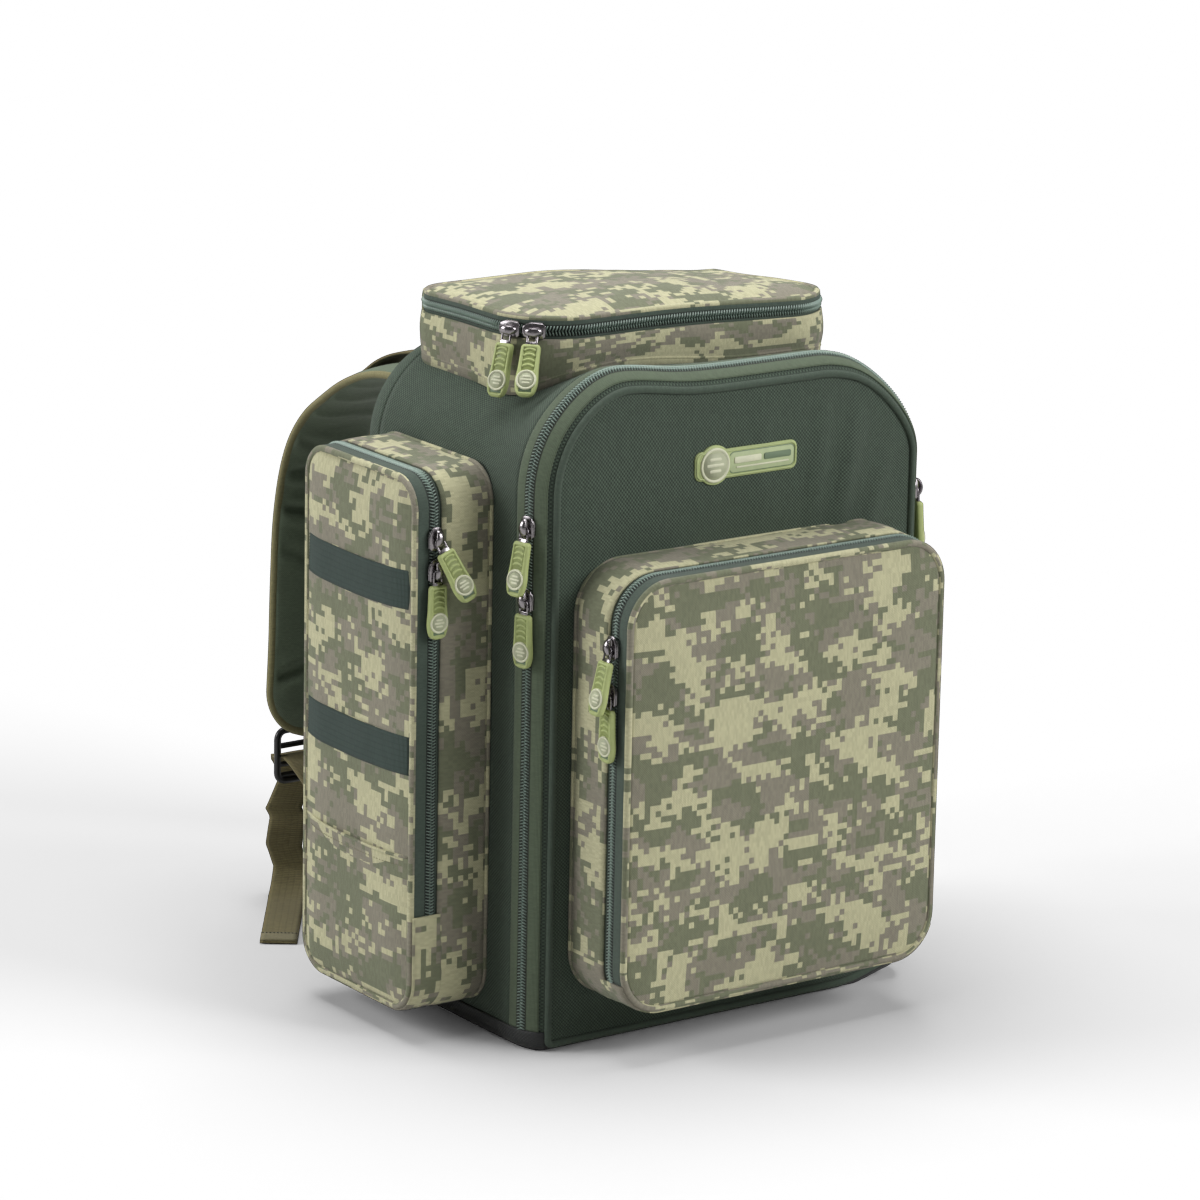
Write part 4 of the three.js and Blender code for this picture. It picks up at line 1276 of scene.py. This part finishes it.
def strap_pad(side, label):
    """The padded shoulder strap: a flat outer face, a wrinkled inner face where it bends, and a rounded lower end."""
    middle = spline([strap_point(side, y, z) for y, z in STRAP_LINE], 150)
    t = tangents(middle, False)
    lengths = arc_lengths(middle)
    across = unit(np.tile([1.0, 0, 0], (len(middle), 1)) - t * t[:, :1])
    normal = unit(np.cross(across, t))
    if normal[75, 1] < 0:
        normal = -normal
    around = np.linspace(0, 2 * math.pi, 41)
    total = lengths[-1]
    sheet, uv, edges = [], [], [[], []]
    for i, (p, a, n, s) in enumerate(zip(middle, across, normal, lengths)):
        rest = total - s
        half = 34.0 if rest > 34 * MM else math.sqrt(max(0.0, 34 ** 2 - (34 - rest / MM) ** 2))
        half = max(half, 3.0)
        taper = min(1, (rest / MM + 4) / 22)
        bend = math.exp(-(((s - 0.165) / 0.085) ** 2))
        row, marks = [], []
        for angle in around:
            c, w = math.cos(angle), math.sin(angle)
            x = half * math.copysign(abs(c) ** 0.75, c)
            thick = (5.8 if w > 0 else 6.2) * taper * math.copysign(abs(w) ** 0.62, w)
            if w < -0.15:
                skew = s + 0.00012 * x * math.sin(s * 31) + 0.007 * ripple((x / 40, s * 18, side * 3.0), 1.0, 7.0)
                q = skew / 0.031 * 2 * math.pi
                crest = 1 - abs(math.sin(q / 2)) ** 0.7
                fold = 3.4 * bend * (0.5 - crest) + 0.5 * (0.2 + bend) * math.sin(q * 0.43 + 1.3)
                fold *= min(1, (abs(w) - 0.15) * 2.2)
                fold += 1.2 * ripple((x / 30, s * 22, side * 3.0), 1.0, 2.0) * abs(w)
            else:
                fold = 0.5 * ripple((x / 25, s * 16, side * 5.0), 1.0, 4.0) * max(0, w)
            row.append(p + a * x * MM + n * (thick + fold) * MM)
            marks.append((s, x * MM if w > 0 else 0.2 - x * MM))
        sheet.append(row)
        uv.append(marks)
        edges[0].append(p + a * (half - 0.6) * MM)
        edges[1].append(p - a * (half - 0.6) * MM)
    pad = grid(f"{label}_pad", np.array(sheet), GREEN_PAD, None, None, uv=uv)
    edit(pad, merge)
    edit(pad, fill, outwards)

    def held(_, point):
        k = int(np.argmin(np.linalg.norm(middle - point, axis=1)))
        return abs((point - middle[k]) @ across[k]) > 30 * MM or k < 4 or k > 143 or abs(k - 40) < 2

    inflate(pad, 22.0, 5 * MM, held)
    crease(pad, middle, t, across, normal, lengths)
    trim, out = resample(np.array(edges[0] + edges[1][::-1]), 3 * MM, np.vstack([normal, normal[::-1]]))
    binding = tube(f"{label}_pad_binding", trim, out, 3.6 * MM, BINDING, flat=0.78)
    settle([pad, binding], "bag", f"{label}_strap_pad")


def harness_webbing(side, label):
    lifter = spline([strap_point(side, y, z) for y, z in LIFTER_LINE], 40)
    made = strip(f"{label}_lifter", lifter, np.tile([1.0, 0, 0], (40, 1)), 25 * MM, 1.5 * MM, WEBBING, 0.5 * MM)
    settle([made], "bag", f"{label}_load_lifter")
    x = strap_point(side, 0, 112)[0]
    lower = spline([(x, y * MM, z * MM) for y, z in LOWER_LINE], 60)
    belt = strip(f"{label}_lower_webbing", lower, np.tile([1.0, 0, 0], (60, 1)), 28 * MM, 1.5 * MM, WEBBING, 0.3 * MM)
    # The tail twists, folds on itself twice and lies on the ground, as it did when it was last pulled through.
    turn = side * TAIL_TURN
    points = spline([(0, v * MM, z * MM) for v, z in TAIL_LINE], 110)
    lengths = arc_lengths(points)
    line, across = [], []
    for (_, v, z), s in zip(points, lengths):
        v += sum(2.2 * MM * math.exp(-(((s - at) / 0.006) ** 2)) for at in (0.052, 0.094)) * min(1, z / 0.01)
        sway = -side * np.interp(s / MM, *zip(*TAIL_SWAY)) * MM
        line.append((x - v * math.sin(turn) + sway * math.cos(turn),
                     TAIL_START + v * math.cos(turn) + sway * math.sin(turn), max(z, 1.3 * MM)))
        loose = min(1, z / 0.03)
        twist = -side * 0.16 * math.sin(s * 34) * max(0.0, loose)
        across.append((math.cos(turn + twist), math.sin(turn + twist), -side * 0.10 * math.sin(s * 47 + 1) * loose))
    line, across = np.array(line), np.array(across)
    tail = strip(f"{label}_tail", line, across, TAIL_WIDTH, 1.5 * MM, WEBBING)
    for v in tail.data.vertices:
        v.co.z = max(v.co.z, 0.35 * MM)
    end = strip(f"{label}_tail_fold", line[-9:] + [0, 0, 1.7 * MM], across[-9:], 27.2 * MM, 1.4 * MM, FOLD_CLOTH)
    row = line[-8] + np.outer(np.linspace(-12.5, 12.5, 9) * MM, unit(across[-8])) + [0, 0, 2.8 * MM]
    outs = np.tile([0, 0, 1.0], (9, 1))
    thread = stitches(f"{label}_tail_stitches", row, outs, THREAD_DARK, 2.8 * MM, 2.1 * MM, 0.4 * MM)
    settle([belt, tail, end, thread], "bag", f"{label}_strap_webbing")
    float(arc_lengths(line)[-1])


def ladder_lock(label):
    low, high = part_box(f"{label}_ladder_lock")
    middle = (Vector(low) + Vector(high)) / 2
    outline = np.array([(x, y, 0) for x, y in rounded(34, 40, 7)]) * MM
    parts = [tube("ring", outline, np.tile([0, 0, 1.0], (len(outline), 1)), 2.6 * MM, PLASTIC, closed=True, sides=12,
                  flat=0.85)]
    for y, z in ((7.5, 1.2), (-6.5, -0.6), (-15.5, 0.8)):
        bar = np.array([(x, y, z) for x in np.linspace(-15.5, 15.5, 9)]) * MM
        parts.append(tube("bar", bar, np.tile([0, 0, 1.0], (9, 1)), 2.1 * MM, PLASTIC, flat=0.8))
    made = join(f"{label}_lock_visual", parts)
    made.data.transform(basis(LEFT, UP, BACK, middle))
    settle([made], f"{label}_ladder_lock", f"{label}_ladder_lock")


def build_handle():
    """A loop of webbing, folded round and sewn into a soft grip in its middle; its ends go into the rear seam."""
    angles = np.linspace(0, math.pi, 49)
    line = np.array([(-36 * math.cos(a), 128, 432 - 30 * math.sin(a)) for a in angles]) * MM
    flat = strip("grab_handle_webbing", line, np.tile([0, 1.0, 0], (49, 1)), 21 * MM, 1.8 * MM, WEBBING)
    grip = tube("grab_handle_grip", line[12:37], np.tile([0, 1.0, 0], (25, 1)), 4.2 * MM, WEBBING, sides=14, flat=2.1,
                squeeze=[0.72] + [1.0] * 23 + [0.72])
    settle([flat, grip], "grab_handle", "grab_handle")


GROOVES = (95 * MM, 215 * MM, 300 * MM)  # heights of the sewn channels across the back panel, over its foot
PAD_CORNER = 26 * MM


def back_pad_relief(x, z, edge):
    """How far the back panel stands off the bag, edge being the distance to its nearest side."""
    crown = 1 - (1 - min(1, max(0, edge) / (16 * MM))) ** 2.2
    spine = math.exp(-((x / (9 * MM)) ** 2)) if z > GROOVES[0] else 0.0
    cross = sum(math.exp(-(((z - at) / (4.5 * MM)) ** 2)) for at in GROOVES)
    groove = max(spine, min(1, cross) * (1.0 if z < GROOVES[0] + 5 * MM else 0.75))
    return 2.2 * MM + crown * (9.6 * MM * (1 - 0.72 * groove) + 0.8 * MM * ripple((x, 0, z), 0.05, 6))


def build_back_pad():
    """The padded back panel: two long pads and a lumbar pad sewn into one air-mesh panel with channels between."""
    low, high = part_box("back_pad")
    width, height, foot, rear = high.x - low.x, high.z - low.z, low.z, low.y
    columns, rows, r = 50, 72, PAD_CORNER
    sheet, uv = [], []
    for j in range(rows + 1):
        z = height * (0.5 + 0.5 * crowded(j, rows, 0.4))
        past = max(0, r - z, z - height + r)
        half = width / 2 - (r - math.sqrt(max(0, r * r - past * past)))
        xs = [half * crowded(i, columns, 0.4) for i in range(columns + 1)]
        sheet.append([(x, rear + back_pad_relief(x, z, min(half - abs(x), z, height - z)), foot + z) for x in xs])
        uv.append([(x, z) for x in xs])
    pad = grid("back_pad_visual", np.array(sheet), AIR_MESH, None, None, uv=uv)
    thicken(pad, 2.0 * MM)
    for v in pad.data.vertices:
        v.co.y = max(v.co.y, rear + 0.2 * MM)

    def held(_, point):
        x, y, z = point - [0, 0, foot]
        sewn = z > GROOVES[0] and abs(x) < 4 * MM or any(abs(z - at) < 3.5 * MM for at in GROOVES)
        return sewn or y < rear + 3.6 * MM

    inflate(pad, 4.0, 5 * MM, held)
    outline = [(x * MM, rear + 2.6 * MM, foot + height / 2 + y * MM) for x, y in
               rounded((width - 1 * MM) / MM, (height - 1 * MM) / MM, PAD_CORNER / MM, count=10)]
    edge = resample(np.array(outline + outline[:1]), 5 * MM)[0][:-1]
    binding = tube("back_pad_binding", edge, np.tile([0, 1.0, 0], (len(edge), 1)), 2.6 * MM, BINDING, closed=True)
    settle([pad, binding], "bag", "back_pad")


for sign, label in ((-1, "left"), (1, "right")):
    strap_pad(sign, label)
    harness_webbing(sign, label)
    ladder_lock(label)
build_handle()
build_back_pad()
